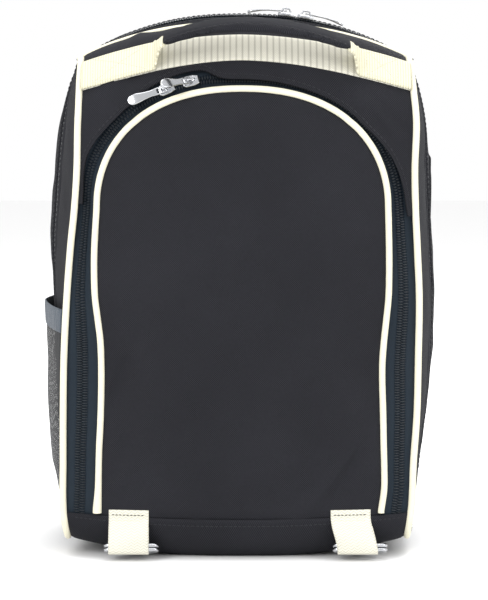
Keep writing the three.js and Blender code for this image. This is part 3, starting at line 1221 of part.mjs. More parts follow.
// direction: -1 turns the pull back along the zipper's own direction.
function addSlider(name, frame, tilt, direction, turn = 0) {
  const slider = addPiece(name, sliderGeometry(), 'metal');
  slider.applyMatrix4(frame);
  const pull = addPiece(`${name}_pull`, pullGeometry(), 'metal');
  pull.position.set(0, 0, BAR_HEIGHT);
  pull.rotation.set(0, THREE.MathUtils.degToRad(tilt), 0);
  pull.updateMatrix();
  const turned = new THREE.Matrix4().makeRotationZ((direction < 0 ? 0 : Math.PI) + THREE.MathUtils.degToRad(turn));
  const whole = frame.clone().multiply(turned).multiply(pull.matrix);
  pull.matrix.identity();
  pull.position.set(0, 0, 0);
  pull.rotation.set(0, 0, 0);
  pull.applyMatrix4(whole);
}

FRONT_SLIDERS.forEach((along, i) => {
  const middle = zip('coil', along);
  const depth = zip('sunk', along) - GAP;
  const origin = onArch(along, middle, depth);
  const ahead = onArch(along + 0.004, middle, depth).sub(onArch(along - 0.004, middle, depth));
  const { x, s } = archAt(along, middle);
  addSlider(`front_slider_${i + 1}`, frameOn(origin, ahead, frontOut(x, s)), FRONT_PULL_TILTS[i], -1, FRONT_PULL_TURNS[i]);
});

const MAIN_SLIDERS = [{ station: 0.30, direction: -1 }, { station: 0.43, direction: 1 }];
MAIN_SLIDERS.forEach(({ station, direction }, i) => {
  const origin = rear(station, ZIP_Y, -GAP);
  const ahead = rearSkin(station + 0.01, ZIP_Y).sub(rearSkin(station - 0.01, ZIP_Y));
  const out = rear(station, ZIP_Y, -1).sub(rearSkin(station, ZIP_Y));
  addSlider(`main_slider_${i + 1}`, frameOn(origin, ahead, out), MAIN_PULL_TILT, direction);
});

export default bag;
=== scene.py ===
import math
import bmesh
import bpy
import numpy as np
from mathutils import Matrix, Vector


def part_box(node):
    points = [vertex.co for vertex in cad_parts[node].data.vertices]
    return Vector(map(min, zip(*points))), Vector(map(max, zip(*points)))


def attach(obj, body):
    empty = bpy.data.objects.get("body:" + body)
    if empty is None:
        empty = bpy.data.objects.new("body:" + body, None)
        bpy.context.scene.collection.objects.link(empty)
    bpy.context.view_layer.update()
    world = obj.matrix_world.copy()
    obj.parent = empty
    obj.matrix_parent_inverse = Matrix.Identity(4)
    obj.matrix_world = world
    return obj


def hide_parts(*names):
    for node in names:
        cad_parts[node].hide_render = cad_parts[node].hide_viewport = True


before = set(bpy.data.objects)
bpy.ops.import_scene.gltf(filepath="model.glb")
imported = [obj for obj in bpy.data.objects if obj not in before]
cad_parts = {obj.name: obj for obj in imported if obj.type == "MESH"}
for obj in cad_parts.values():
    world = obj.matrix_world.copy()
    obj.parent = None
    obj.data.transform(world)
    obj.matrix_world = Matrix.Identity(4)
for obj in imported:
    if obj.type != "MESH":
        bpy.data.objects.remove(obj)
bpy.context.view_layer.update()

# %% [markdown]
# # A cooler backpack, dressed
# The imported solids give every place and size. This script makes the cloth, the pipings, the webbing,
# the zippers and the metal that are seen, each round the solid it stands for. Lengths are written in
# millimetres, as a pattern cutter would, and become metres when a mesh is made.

# %% [markdown]
# ## The body's surfaces
# A sewn bag is flat cloth bent along seams. Each cloth is a formula: two numbers say where on the cut
# cloth a point lies, and the formula says where that point is in space. Grids are laid on these
# formulas, so that every seam, zipper tooth and stitch finds its place by the same two numbers.

# %% Sizes of the body, in millimetres
BODY_DEPTH, FRONT_SECTION, BELLY_DEPTH = 165.0, 58.0, 102.0
CORNER_HEIGHT, BASE_RISE = 362.0, 13.0
EDGE_HALF_WIDTH, BELLY_HALF_WIDTH, BACK_DRAW_IN = 128.0, 147.0, 10.0
BASE_RADIUS, TOP_RADIUS, SHOULDER_RADIUS = 18.0, 46.0, 20.0
FRONT_CROWN, TOP_CROWN, REAR_CROWN, BACK_TOP_CROWN = 13.0, 25.0, 33.0, 24.0
BASE_CROWN, BACK_CROWN, BAND_HEIGHT, BAND_DIP = 15.0, 9.0, 33.0, 4.0
WALL, SEAM_INSET, SEAM_CORNER = 2.6, 3.3, 6.5
FRONT_Y, BACK_Y = -BODY_DEPTH / 2, BODY_DEPTH / 2
SEAM_Y, BELLY_Y = FRONT_Y + FRONT_SECTION, FRONT_Y + BELLY_DEPTH
ZIP_Y = SEAM_Y + 16.0
CORE = np.array([0, 0, CORNER_HEIGHT / 2])

# Shares of the heights and half-widths, from the base up: height, edge left, edge right, belly left, right.
BODY = np.array([
    (0.036, 0.985, 0.938, 0.885, 0.880), (0.100, 1.008, 0.966, 0.912, 0.910),
    (0.196, 1.007, 0.977, 0.932, 0.939), (0.290, 1.005, 0.994, 0.950, 0.973),
    (0.406, 0.998, 1.000, 0.966, 0.993), (0.522, 0.980, 1.003, 0.974, 1.000),
    (0.624, 0.957, 0.990, 0.986, 0.987), (0.700, 0.934, 0.979, 0.975, 0.978),
    (0.780, 0.918, 0.973, 0.960, 0.966), (0.873, 0.911, 0.980, 0.930, 0.950),
    (0.942, 0.895, 0.957, 0.888, 0.912), (1.000, 0.875, 0.930, 0.837, 0.864)])
# Dents of the front cloth: across, height, wide, tall, turn, depth.
DENTS = [
    (-0.66, 0.35, 0.035, 0.16, 6, 0.16), (-0.30, 0.20, 0.16, 0.06, -8, 0.10),
    (0.52, 0.22, 0.05, 0.12, -32, 0.17), (0.36, 0.15, 0.04, 0.09, -40, 0.13),
    (-0.74, 0.915, 0.020, 0.085, -38, 0.15), (0.80, 0.86, 0.025, 0.06, 30, 0.14),
    (0.00, 0.55, 0.22, 0.22, 0, -0.08)]


# %% Reading a table on a smooth curve
def read(keys, values, at):
    keys, values = np.asarray(keys, float), np.asarray(values, float)
    at = np.asarray(at, float)
    last = len(keys) - 2
    i = np.searchsorted(keys[1:-1], at, side="left")
    before, after = np.maximum(i - 1, 0), np.minimum(i + 2, last + 1)
    span = keys[i + 1] - keys[i]
    t = np.clip((at - keys[i]) / span, 0, 1)
    step = values[i + 1] - values[i]
    with np.errstate(divide="ignore", invalid="ignore"):
        first = np.where(i > 0, (values[i + 1] - values[before]) / (keys[i + 1] - keys[before]) * span, step)
        second = np.where(i < last, (values[after] - values[i]) / (keys[after] - keys[i]) * span, step)
    return ((2 * t**3 - 3 * t**2 + 1) * values[i] + (t**3 - 2 * t**2 + t) * first
            + (3 * t**2 - 2 * t**3) * values[i + 1] + (t**3 - t**2) * second)


def ease(value, low, high):
    t = np.clip((np.asarray(value, float) - low) / (high - low), 0, 1)
    return t * t * (3 - 2 * t)


def mix(a, b, t):
    return a + (b - a) * t


def half_width(side, y, z):
    share = np.asarray(z, float) / CORNER_HEIGHT
    right = np.asarray(side) > 0
    widths = [read(BODY[:, 0], BODY[:, column], share) for column in (1, 2, 3, 4)]
    edge_left, edge_right, belly_left, belly_right = widths
    edge = EDGE_HALF_WIDTH * np.where(right, edge_right, edge_left)
    belly = BELLY_HALF_WIDTH * np.where(right, belly_right, belly_left)
    ahead = np.clip((y - FRONT_Y) / (BELLY_Y - FRONT_Y), 0, 1)
    behind = (y - BELLY_Y) / (BACK_Y - BELLY_Y)
    in_front = edge + (belly - edge) * (1 - (1 - ahead) ** 1.2)
    return np.where(y < BELLY_Y, in_front, belly - BACK_DRAW_IN * behind**2)


# %% The front cloth: x across it, s along it from the back of the base up to the top seam
BASE_RUN = BACK_Y - (FRONT_Y + BASE_RADIUS)
FRONT_FROM = BASE_RUN + math.pi / 2 * BASE_RADIUS
ROOF_FROM = FRONT_FROM + CORNER_HEIGHT - TOP_RADIUS - BASE_RISE - BASE_RADIUS
ROOF_TO = ROOF_FROM + math.pi / 2 * TOP_RADIUS
TOP_SEAM = ROOF_TO + SEAM_Y - (FRONT_Y + TOP_RADIUS)


def seam_line(s):
    s = np.asarray(s, float)
    low, high = (s - BASE_RUN) / BASE_RADIUS, (s - ROOF_FROM) / TOP_RADIUS
    zones = [s < BASE_RUN, s < FRONT_FROM, s < ROOF_FROM, s < ROOF_TO]
    out_y = np.select(zones, [0, -np.sin(low), -1, -np.cos(high)], 0)
    out_z = np.select(zones, [-1, -np.cos(low), 0, np.sin(high)], 1)
    y = np.select(zones, [BACK_Y - s, FRONT_Y + BASE_RADIUS * (1 + out_y), FRONT_Y,
                          FRONT_Y + TOP_RADIUS * (1 + out_y)], FRONT_Y + TOP_RADIUS + s - ROOF_TO)
    z = np.select(zones, [BASE_RISE, BASE_RISE + BASE_RADIUS * (1 + out_z),
                          BASE_RISE + BASE_RADIUS + s - FRONT_FROM,
                          CORNER_HEIGHT - TOP_RADIUS + TOP_RADIUS * out_z], CORNER_HEIGHT)
    return y, z, out_y, out_z


def dent_at(x, z):
    depth = 0
    for across, height, wide, tall, turn, deep in DENTS:
        c, n = math.cos(math.radians(turn)), math.sin(math.radians(turn))
        dx, dz = x - across * EDGE_HALF_WIDTH, z - height * CORNER_HEIGHT
        a, b = (dx * c - dz * n) / (wide * CORNER_HEIGHT), (dx * n + dz * c) / (tall * CORNER_HEIGHT)
        depth = depth + deep * FRONT_CROWN * np.exp(-a * a - b * b)
    return depth


def front_skin(x, s):
    y, z, out_y, out_z = seam_line(s)
    f = np.clip(np.abs(x) / half_width(x, y, z), 0, 1)
    roof = np.where(out_z > 0, TOP_CROWN, BASE_CROWN * (1 - 0.4 * ease(y, BACK_Y - 24, BACK_Y)))
    swell = (out_y**2 * FRONT_CROWN + out_z**2 * roof) * (1 - f**2.3)
    out = swell - dent_at(x, z) * out_y**2 * (1 - f**4)
    x = np.broadcast_to(x, out.shape)
    return np.stack([x, y + out_y * out, np.maximum(0, z + out_z * out)], -1)


# %% The rear section: station counts across it, over the top and down both sides
def roof_crown(y):
    return mix(mix(TOP_CROWN, REAR_CROWN, ease(y, SEAM_Y, ZIP_Y)), BACK_TOP_CROWN, ease(y, BELLY_Y, BACK_Y))


SIDE_RUN = CORNER_HEIGHT - BASE_RISE


def rear_skin(station, y):
    station, y = np.broadcast_arrays(np.asarray(station, float), np.asarray(y, float))
    side, k = np.where(station < 0, -1.0, 1.0), np.abs(station)
    bend = mix(3, SHOULDER_RADIUS, ease(y, SEAM_Y, SEAM_Y + 26))
    top = half_width(side, y, CORNER_HEIGHT)

    def roof(across):
        return across, CORNER_HEIGHT + roof_crown(y) * (1 - np.clip(across / top, 0, 1) ** 2.3)

    def wall(down):
        return half_width(side, y, CORNER_HEIGHT - down), CORNER_HEIGHT - down

    t = np.clip(k - 1, 0, 1)
    a, c = roof(top - bend), wall(bend)
    corner = [(1 - t) ** 2 * p + 2 * t * (1 - t) * m + t**2 * q
              for p, m, q in zip(a, (top, CORNER_HEIGHT), c)]
    flat, side_wall = roof(k * (top - bend)), wall(mix(bend, SIDE_RUN, np.maximum(k - 2, 0)))
    x, z = [np.select([k < 1, k > 2], [p, q], m) for p, q, m in zip(flat, side_wall, corner)]
    return np.stack([side * x, y, z], -1)


def station_at(z):
    return 2 + (CORNER_HEIGHT - SHOULDER_RADIUS - z) / (SIDE_RUN - SHOULDER_RADIUS)


def side_skin(side):
    return lambda y, z: np.stack(np.broadcast_arrays(side * half_width(side, y, z), y, z), -1)


# %% A surface raised by a height, along its own outward direction
def normals_of(skin, u, v, du, dv):
    a = skin(u + du, v) - skin(u - du, v)
    b = skin(u, v + dv) - skin(u, v - dv)
    n = np.cross(a, b)
    n /= np.linalg.norm(n, axis=-1, keepdims=True) + 1e-12
    away = np.sum(n * (skin(u, v) - CORE), -1, keepdims=True)
    return n * np.where(away < 0, -1, 1)


def raised(skin, du, dv):
    def point(u, v, height=0.0):
        height = np.asarray(height, float)[..., None]
        return skin(u, v) + normals_of(skin, u, v, du, dv) * height
    return point


front = raised(front_skin, 0.5, 0.5)
rear = raised(rear_skin, 0.002, 0.3)
sides = {side: raised(side_skin(side), 0.5, 0.5) for side in (-1, 1)}


def edge_x(side, s):
    y, z, _, _ = seam_line(s)
    return side * half_width(side, y, z)


def length_at(x, z):
    low = np.full(np.broadcast(x, z).shape, BASE_RUN + BASE_RADIUS * 0.3)
    high = np.full(low.shape, TOP_SEAM)
    for _ in range(40):
        middle = (low + high) / 2
        below = front_skin(x, middle)[..., 2] < z
        low, high = np.where(below, middle, low), np.where(below, high, middle)
    return (low + high) / 2


def band_top(x):
    f = np.clip(np.abs(x) / EDGE_HALF_WIDTH, 0, 1)
    return length_at(x, BAND_HEIGHT - BAND_DIP * (1 - f * f))


print("length of the front cloth, base to top seam:", round(TOP_SEAM), "mm")

# %% [markdown]
# ## The arch
# The front zipper runs up, over and down the flap. Its line is drawn once on the flat cut of the front
# cloth. A place on it is a share of its length, and what lies beside it is a distance from it.

# %% The arch line and places beside it
LEGS = np.array([
    (0.098, 0.813, 0.793), (0.145, 0.806, 0.810), (0.215, 0.801, 0.806), (0.290, 0.790, 0.801),
    (0.386, 0.785, 0.794), (0.450, 0.792, 0.806), (0.522, 0.818, 0.827), (0.610, 0.822, 0.830),
    (0.696, 0.808, 0.824)])
# Zipper beside the arch: along, coil, half, cover, sunk.
ZIP = np.array([
    (0.00, 13.6, 4.2, 26, 0.5), (0.16, 14.0, 4.2, 26, 0.5), (0.21, 11.4, 3.8, 24, 0.7),
    (0.25, 9.4, 3.0, 16, 1.8), (0.29, 8.8, 2.8, 11, 3.5), (0.31, 8.8, 2.9, 10.6, 3.5),
    (0.34, 9.4, 3.2, 13.6, 3.5), (0.37, 8.4, 3.4, 11.4, 3.5), (0.40, 7.8, 3.4, 10.4, 3.5),
    (0.418, 7.6, 3.4, 12.4, 3.5), (0.462, 7.6, 3.4, 12.4, 3.5), (0.48, 7.2, 3.4, 6.4, 3.5),
    (0.50, 7.0, 3.4, 5.2, 3.5), (0.62, 7.0, 3.4, 4.8, 3.5), (0.66, 8.0, 3.4, 9.5, 3.5),
    (0.70, 9.2, 3.2, 13.0, 3.5), (0.73, 9.6, 3.4, 16, 2.6), (0.78, 11.0, 3.8, 22, 0.9),
    (0.85, 13.2, 4.0, 26, 0.5), (0.91, 12.6, 4.0, 26, 0.5), (0.96, 11.2, 4.0, 26, 0.5),
    (1.00, 11.4, 4.0, 26, 0.5)])
ARCH_RISE, ARCH_POWER, PANEL_FROM, PANEL_TO = 0.2415, 2.24, 0.312, 0.700
arch_middle = EDGE_HALF_WIDTH * (LEGS[-1, 2] - LEGS[-1, 1]) / 2
arch_half = EDGE_HALF_WIDTH * (LEGS[-1, 2] + LEGS[-1, 1]) / 2


def arch_line():
    up = np.linspace(LEGS[0, 0], LEGS[-1, 0], 15)
    turn = np.linspace(0, math.pi, 27)[1:-1]

    def bend(value):
        return np.sign(value) * np.abs(value) ** (2 / ARCH_POWER)

    left = np.stack([-EDGE_HALF_WIDTH * read(LEGS[:, 0], LEGS[:, 1], up), up * CORNER_HEIGHT], 1)
    right = np.stack([EDGE_HALF_WIDTH * read(LEGS[:, 0], LEGS[:, 2], up), up * CORNER_HEIGHT], 1)[::-1]
    bow = np.stack([arch_middle - arch_half * bend(np.cos(turn)),
                    CORNER_HEIGHT * (LEGS[-1, 0] + ARCH_RISE * bend(np.sin(turn)))], 1)
    knots = np.concatenate([left, bow, right])
    return np.stack([knots[:, 0], length_at(knots[:, 0], knots[:, 1])], 1)


def smooth_path(knots, per=14):
    """A dense path on a curve through knots, whose speed follows their spacing."""
    knots = np.asarray(knots, float)
    ends = np.concatenate([[2 * knots[0] - knots[1]], knots, [2 * knots[-1] - knots[-2]]])
    t = np.linspace(0, 1, per, endpoint=False)[:, None]
    out = []
    for p0, p1, p2, p3 in zip(ends, ends[1:], ends[2:], ends[3:]):
        a, b, c = [max(1e-6, np.linalg.norm(q - p)) ** 0.5 for p, q in ((p0, p1), (p1, p2), (p2, p3))]
        first = ((p1 - p0) / a - (p2 - p0) / (a + b) + (p2 - p1) / b) * b
        second = ((p2 - p1) / b - (p3 - p1) / (b + c) + (p3 - p2) / c) * b
        out.append((2 * t**3 - 3 * t**2 + 1) * p1 + (t**3 - 2 * t**2 + t) * first
                   + (3 * t**2 - 2 * t**3) * p2 + (t**3 - t**2) * second)
    return np.concatenate(out + [knots[-1:]])


def run_of(path):
    return np.concatenate([[0], np.cumsum(np.linalg.norm(np.diff(path, axis=0), axis=1))])


arch_path = smooth_path(arch_line())
arch_run = run_of(arch_path)
ARCH_LENGTH = arch_run[-1]


def arch_at(along, offset):
    place = np.clip(along, 0, 1) * ARCH_LENGTH
    past = (np.maximum(-np.asarray(along), 0) + np.maximum(np.asarray(along) - 1, 0)) * ARCH_LENGTH
    at = [np.interp(place, arch_run, arch_path[:, 0]), np.interp(place, arch_run, arch_path[:, 1]) - past]
    ahead = [np.interp(place + 1, arch_run, arch_path[:, i]) - np.interp(place - 1, arch_run, arch_path[:, i])
             for i in (0, 1)]
    length = np.hypot(*ahead)
    return at[0] - ahead[1] / length * offset, at[1] + ahead[0] / length * offset


def on_arch(along, offset, height=0.0):
    x, s = arch_at(along, offset)
    return front(x, s, height)


def zip_at(column, along):
    return read(ZIP[:, 0], ZIP[:, column], along)


def room(along):
    x, s = arch_at(along, 0)
    return np.abs(edge_x(np.sign(x), s)) - np.abs(x)


def coil_middle(along):
    wanted = zip_at(1, along)
    roomy = (along > PANEL_FROM + 0.06) & (along < PANEL_TO - 0.06)
    return np.where(roomy, wanted, np.minimum(wanted, room(along) - WALL - 0.6 - zip_at(2, along)))


print("arch piping:", round(ARCH_LENGTH), "mm along")

# %% [markdown]
# ## From formula to mesh
# Cloth starts as a bmesh grid, whose corners are then moved onto a surface. Round things start as a
# grid too, rolled up into a tube and merged along the join. Small things that repeat, such as zipper
# teeth and stitches, are one small template that is copied to many places.


# %% Grids on surfaces, tubes along paths, copies of a template
def lay(mesh, place, flat=None):
    """Moves a unit grid's vertices onto place(u, v), and gives it the flat cut as its UV map."""
    count = len(mesh.vertices)
    corners = np.empty(count * 3)
    mesh.vertices.foreach_get("co", corners)
    u, v = corners.reshape(-1, 3)[:, 0] + 0.5, corners.reshape(-1, 3)[:, 1] + 0.5
    mesh.vertices.foreach_set("co", (place(u, v) / 1000).ravel())
    if flat is not None:
        index = np.empty(len(mesh.loops), int)
        mesh.loops.foreach_get("vertex_index", index)
        a, b = flat(u, v)
        cut = np.stack(np.broadcast_arrays(a, b), -1)[index] / 1000
        mesh.uv_layers.new(name="cut").data.foreach_set("uv", cut.ravel())
    mesh.update()


def grid_mesh(name, columns, rows):
    bm = bmesh.new()
    bmesh.ops.create_grid(bm, x_segments=columns, y_segments=rows, size=0.5)
    mesh = bpy.data.meshes.new(name)
    bm.to_mesh(mesh)
    bm.free()
    return mesh


def add_object(name, mesh):
    obj = bpy.data.objects.new(name, mesh)
    bpy.context.scene.collection.objects.link(obj)
    return obj


def smooth(obj, angle=None):
    obj.data.shade_smooth()
    if angle:
        obj.data.set_sharp_from_angle(angle=math.radians(angle))
    return obj


def cloth(name, columns, rows, place, flat, thickness=2.2, core=CORE):
    """A cloth with its outer face on place(u, v), thickened inwards."""
    mesh = grid_mesh(name, columns, rows)
    lay(mesh, place, flat)
    bm = bmesh.new()
    bm.from_mesh(mesh)
    bm.normal_update()
    away = sum(f.normal.dot(f.calc_center_median() - Vector(core) / 1000) for f in bm.faces)
    if away < 0:
        bmesh.ops.reverse_faces(bm, faces=bm.faces)
    bm.to_mesh(mesh)
    bm.free()
    obj = smooth(add_object(name, mesh))
    if thickness:
        wall = obj.modifiers.new("wall", "SOLIDIFY")
        wall.thickness, wall.offset, wall.use_even_offset = thickness / 1000, -1, False
    return obj


def weld(mesh, close=True):
    """Merges the corners that meet, closes open ends and turns all faces outwards."""
    bm = bmesh.new()
    bm.from_mesh(mesh)
    bmesh.ops.remove_doubles(bm, verts=bm.verts, dist=1e-6)
    if close:
        bmesh.ops.holes_fill(bm, edges=[e for e in bm.edges if e.is_boundary], sides=0)
    bmesh.ops.recalc_face_normals(bm, faces=bm.faces)
    bm.to_mesh(mesh)
    bm.free()
    return mesh


def tube_frames(path, aside, closed=False):
    """Two directions square to a path at each of its points, the first as near aside as it can be."""
    ahead = (np.roll(path, -1, 0) - np.roll(path, 1, 0)) if closed else np.gradient(path, axis=0)
    ahead /= np.linalg.norm(ahead, axis=1, keepdims=True)
    aside = aside - ahead * np.sum(aside * ahead, 1, keepdims=True)
    aside /= np.linalg.norm(aside, axis=1, keepdims=True)
    return aside, np.cross(ahead, aside)


def tube(name, path, radius, aside, sides=12, closed=False, squash=1.0):
    """A tube along a path. radius is a number or one for each point."""
    first, second = tube_frames(path, aside, closed)
    radius = np.broadcast_to(radius, len(path))
    rows = len(path) if closed else len(path) - 1
    run = run_of(np.concatenate([path, path[:1]]) if closed else path)

    def place(u, v):
        i = np.rint(v * rows).astype(int) % len(path)
        turn = (u % 1) * 2 * math.pi
        return (path[i] + first[i] * (np.cos(turn) * radius[i] * squash)[:, None]
                + second[i] * (np.sin(turn) * radius[i])[:, None])

    mesh = grid_mesh(name, sides, rows)
    lay(mesh, place, lambda u, v: (u * 2 * math.pi * radius[0], run[np.rint(v * rows).astype(int)]))
    return smooth(add_object(name, weld(mesh, not closed)), 50)


def scatter(name, template, centres, *axes):
    """Copies of a template mesh, one at each centre, turned to its three axes, whose lengths scale it."""
    bm = bmesh.new()
    for _ in range(len(centres)):
        bm.from_mesh(template)
    mesh = bpy.data.meshes.new(name)
    bm.to_mesh(mesh)
    bm.free()
    count = len(template.vertices)
    shape = np.empty(count * 3)
    template.vertices.foreach_get("co", shape)
    turn = np.stack(np.broadcast_arrays(*axes), 1)
    placed = np.einsum("vk,nkc->nvc", shape.reshape(-1, 3), turn) + np.asarray(centres)[:, None, :]
    mesh.vertices.foreach_set("co", (placed / 1000).ravel())
    mesh.update()
    return smooth(add_object(name, mesh), 60)


def along_path(where, run, values):
    """values, a row for each step of run, read at other places along it."""
    return np.stack([np.interp(where, run, column) for column in values.T], -1)


def rumple(a, b, size, seed=0.0):
    """Soft bumps between about -1 and 1, `size` apart, the same on each run."""
    total = 0
    for k in range(5):
        turn = 2.399963 * k + seed
        wave = (a * math.cos(turn) + b * math.sin(turn)) * 2 * math.pi / (size * (0.75 + 0.13 * k))
        wave = wave + 1.7 * k + 3.1 * seed
        total = total + np.sin(wave + 0.8 * np.sin(wave * 0.37 + k))
    return total / 5


def tuck(distance, depth=1.7, reach=2.6):
    """How far cloth dips as it nears the seam that it is sewn into."""
    return -depth * np.exp(-(np.maximum(distance, 0) / reach) ** 2)


def pucker(distance, run, pitch=9.0, high=0.35, reach=9.0, seed=0.0):
    """Small gathers beside a seam."""
    return high * np.exp(-distance / reach) * rumple(run, distance * 0.3, pitch, seed)


# %% [markdown]
# ## Finishes
# Every finish is made of nodes. What several share is a node group: a weave that reads the flat cut of
# the cloth, so that threads follow the piece, and a slow change of tone. The shader itself stays in
# the material.


# %% Node helpers
def node(tree, kind, **values):
    made = tree.nodes.new(kind)
    for key, value in values.items():
        if key in made.inputs:
            made.inputs[key].default_value = value
        else:
            setattr(made, key, value)
    return made


def sums(tree, operation, *values):
    made = tree.nodes.new("ShaderNodeMath")
    made.operation = operation
    for i, value in enumerate(values):
        if isinstance(value, (int, float)):
            made.inputs[i].default_value = value
        else:
            tree.links.new(value, made.inputs[i])
    return made.outputs[0]


def new_group(name, inputs, outputs):
    tree = bpy.data.node_groups.new(name, "ShaderNodeTree")
    for kind, label, value in inputs:
        socket = tree.interface.new_socket(label, in_out="INPUT", socket_type="NodeSocket" + kind)
        if value is not None:
            socket.default_value = value
    for kind, label in outputs:
        tree.interface.new_socket(label, in_out="OUTPUT", socket_type="NodeSocket" + kind)
    return tree, node(tree, "NodeGroupInput").outputs, node(tree, "NodeGroupOutput").inputs


# %% Weave group: plain-woven threads laid on the flat cut
def weave_group():
    tree, given, out = new_group("weave", [
        ("Vector", "Cut", None), ("Float", "Pitch", 0.0014), ("Float", "Slant", 1.0)],
        [("Float", "Height"), ("Float", "Thread")])
    apart = node(tree, "ShaderNodeSeparateXYZ")
    tree.links.new(given["Cut"], apart.inputs[0])
    u, v = apart.outputs[0], apart.outputs[1]
    rate = sums(tree, "DIVIDE", 2 * math.pi, given["Pitch"])
    wobble = node(tree, "ShaderNodeTexNoise", Scale=70.0, Detail=2.0)
    tree.links.new(given["Cut"], wobble.inputs["Vector"])
    shift = sums(tree, "MULTIPLY", wobble.outputs["Fac"], 5.0)
    a = sums(tree, "ADD", u, sums(tree, "MULTIPLY", v, given["Slant"]))
    b = sums(tree, "SUBTRACT", v, sums(tree, "MULTIPLY", u, given["Slant"]))
    warp = sums(tree, "SINE", sums(tree, "ADD", sums(tree, "MULTIPLY", a, rate), shift))
    weft = sums(tree, "SINE", sums(tree, "SUBTRACT", sums(tree, "MULTIPLY", b, rate), shift))
    height = sums(tree, "MULTIPLY_ADD", sums(tree, "MULTIPLY", warp, weft), 0.5, 0.5)
    tree.links.new(height, out["Height"])
    tree.links.new(sums(tree, "POWER", height, 1.6), out["Thread"])
    return tree


weave = weave_group()


# %% Tone group: a slow change of tone, lighter and darker at random, mixed with the weave's threads
def tone_group():
    tree, given, out = new_group("tone", [
        ("Vector", "Place", None), ("Color", "Dark", (0, 0, 0, 1)), ("Color", "Light", (1, 1, 1, 1)),
        ("Float", "Thread", 0.5), ("Float", "Size", 14.0)], [("Color", "Color"), ("Float", "Mask")])
    slow = node(tree, "ShaderNodeTexNoise", Detail=3.0, Roughness=0.6)
    tree.links.new(given["Place"], slow.inputs["Vector"])
    tree.links.new(given["Size"], slow.inputs["Scale"])
    fine = node(tree, "ShaderNodeTexNoise", Scale=900.0, Detail=2.0)
    tree.links.new(given["Place"], fine.inputs["Vector"])
    share = sums(tree, "ADD", sums(tree, "MULTIPLY", given["Thread"], 0.85),
                 sums(tree, "ADD", sums(tree, "MULTIPLY", slow.outputs["Fac"], 0.3),
                      sums(tree, "MULTIPLY", fine.outputs["Fac"], 0.25)))
    share = sums(tree, "SUBTRACT", share, 0.22)
    blend = node(tree, "ShaderNodeMix", data_type="RGBA")
    tree.links.new(share, blend.inputs["Factor"])
    for label, socket in (("Dark", blend.inputs[6]), ("Light", blend.inputs[7])):
        tree.links.new(given[label], socket)
    tree.links.new(blend.outputs[2], out["Color"])
    tree.links.new(share, out["Mask"])
    return tree


tone = tone_group()


# %% A woven finish: weave, tone and a little sheen
def woven(name, dark, light, pitch=1.4, slant=1.0, bump=0.25, rough=0.86, sheen=0.12, depth=0.35, size=14.0):
    made = bpy.data.materials.new(name)
    made.use_nodes = True
    tree = made.node_tree
    shader = tree.nodes["Principled BSDF"]
    shader.inputs["Roughness"].default_value = rough
    shader.inputs["Sheen Weight"].default_value = sheen
    shader.inputs["Sheen Roughness"].default_value = 0.5
    shader.inputs["Specular IOR Level"].default_value = 0.16
    cut = node(tree, "ShaderNodeUVMap", uv_map="cut")
    threads = node(tree, "ShaderNodeGroup", node_tree=weave)
    threads.inputs["Pitch"].default_value = pitch / 1000
    threads.inputs["Slant"].default_value = slant
    tree.links.new(cut.outputs[0], threads.inputs["Cut"])
    place = node(tree, "ShaderNodeTexCoord")
    toned = node(tree, "ShaderNodeGroup", node_tree=tone)
    toned.inputs["Dark"].default_value = (*dark, 1)
    toned.inputs["Light"].default_value = (*light, 1)
    toned.inputs["Size"].default_value = size
    tree.links.new(place.outputs["Object"], toned.inputs["Place"])
    tree.links.new(threads.outputs["Thread"], toned.inputs["Thread"])
    tree.links.new(toned.outputs["Color"], shader.inputs["Base Color"])
    raise_it = node(tree, "ShaderNodeBump", Strength=bump, Distance=depth / 1000)
    tree.links.new(threads.outputs["Height"], raise_it.inputs["Height"])
    tree.links.new(raise_it.outputs[0], shader.inputs["Normal"])
    return made


# %% A ribbed finish: webbing, whose ribs run across its length, with painted shade in the grooves between them
def ribbed(name, dark, light, rib, line, herring=0.0):
    """rib is the distance between ribs and line the distance between threads, both in millimetres."""
    made = woven(name, dark, light, pitch=line, slant=0.0, bump=0.35, depth=0.15, sheen=0.05)
    tree = made.node_tree
    shader = tree.nodes["Principled BSDF"]
    cut = [n for n in tree.nodes if n.bl_idname == "ShaderNodeUVMap"][0]
    group = [n for n in tree.nodes if n.bl_idname == "ShaderNodeGroup" and n.node_tree == tone][0]
    apart = node(tree, "ShaderNodeSeparateXYZ")
    tree.links.new(cut.outputs[0], apart.inputs[0])
    zigzag = sums(tree, "PINGPONG", apart.outputs[1], 0.0022)
    slid = sums(tree, "MULTIPLY_ADD", zigzag, herring, apart.outputs[0])
    wave = sums(tree, "SINE", sums(tree, "MULTIPLY", slid, 2 * math.pi / (rib / 1000)))
    # The grooves between the ribs are darkened in the colour: painted shade, as the ribs have no bump of their
    # own.
    rib_groove_shade = sums(tree, "POWER", sums(tree, "MULTIPLY_ADD", wave, 0.5, 0.5), 5.0)
    # The painted shade is the dark tone at 0.62, mixed in over the grooves.
    shade = node(tree, "ShaderNodeMix", data_type="RGBA")
    shade.inputs[7].default_value = (dark[0] * 0.62, dark[1] * 0.62, dark[2] * 0.62, 1)
    tree.links.new(sums(tree, "MULTIPLY", rib_groove_shade, 0.75), shade.inputs["Factor"])
    tree.links.new(group.outputs["Color"], shade.inputs[6])
    tree.links.new(shade.outputs[2], shader.inputs["Base Color"])
    return made


WEBBING = ribbed("cream webbing", (0.50, 0.48, 0.40), (0.74, 0.725, 0.64), 4.4, 1.5)
STRAP_WEBBING = ribbed("cream strap webbing", (0.56, 0.53, 0.38), (0.78, 0.755, 0.60), 1.85, 1.2)
TAB_WEBBING = ribbed("cream tab webbing", (0.60, 0.58, 0.48), (0.80, 0.785, 0.70), 2.1, 1.2, herring=0.8)

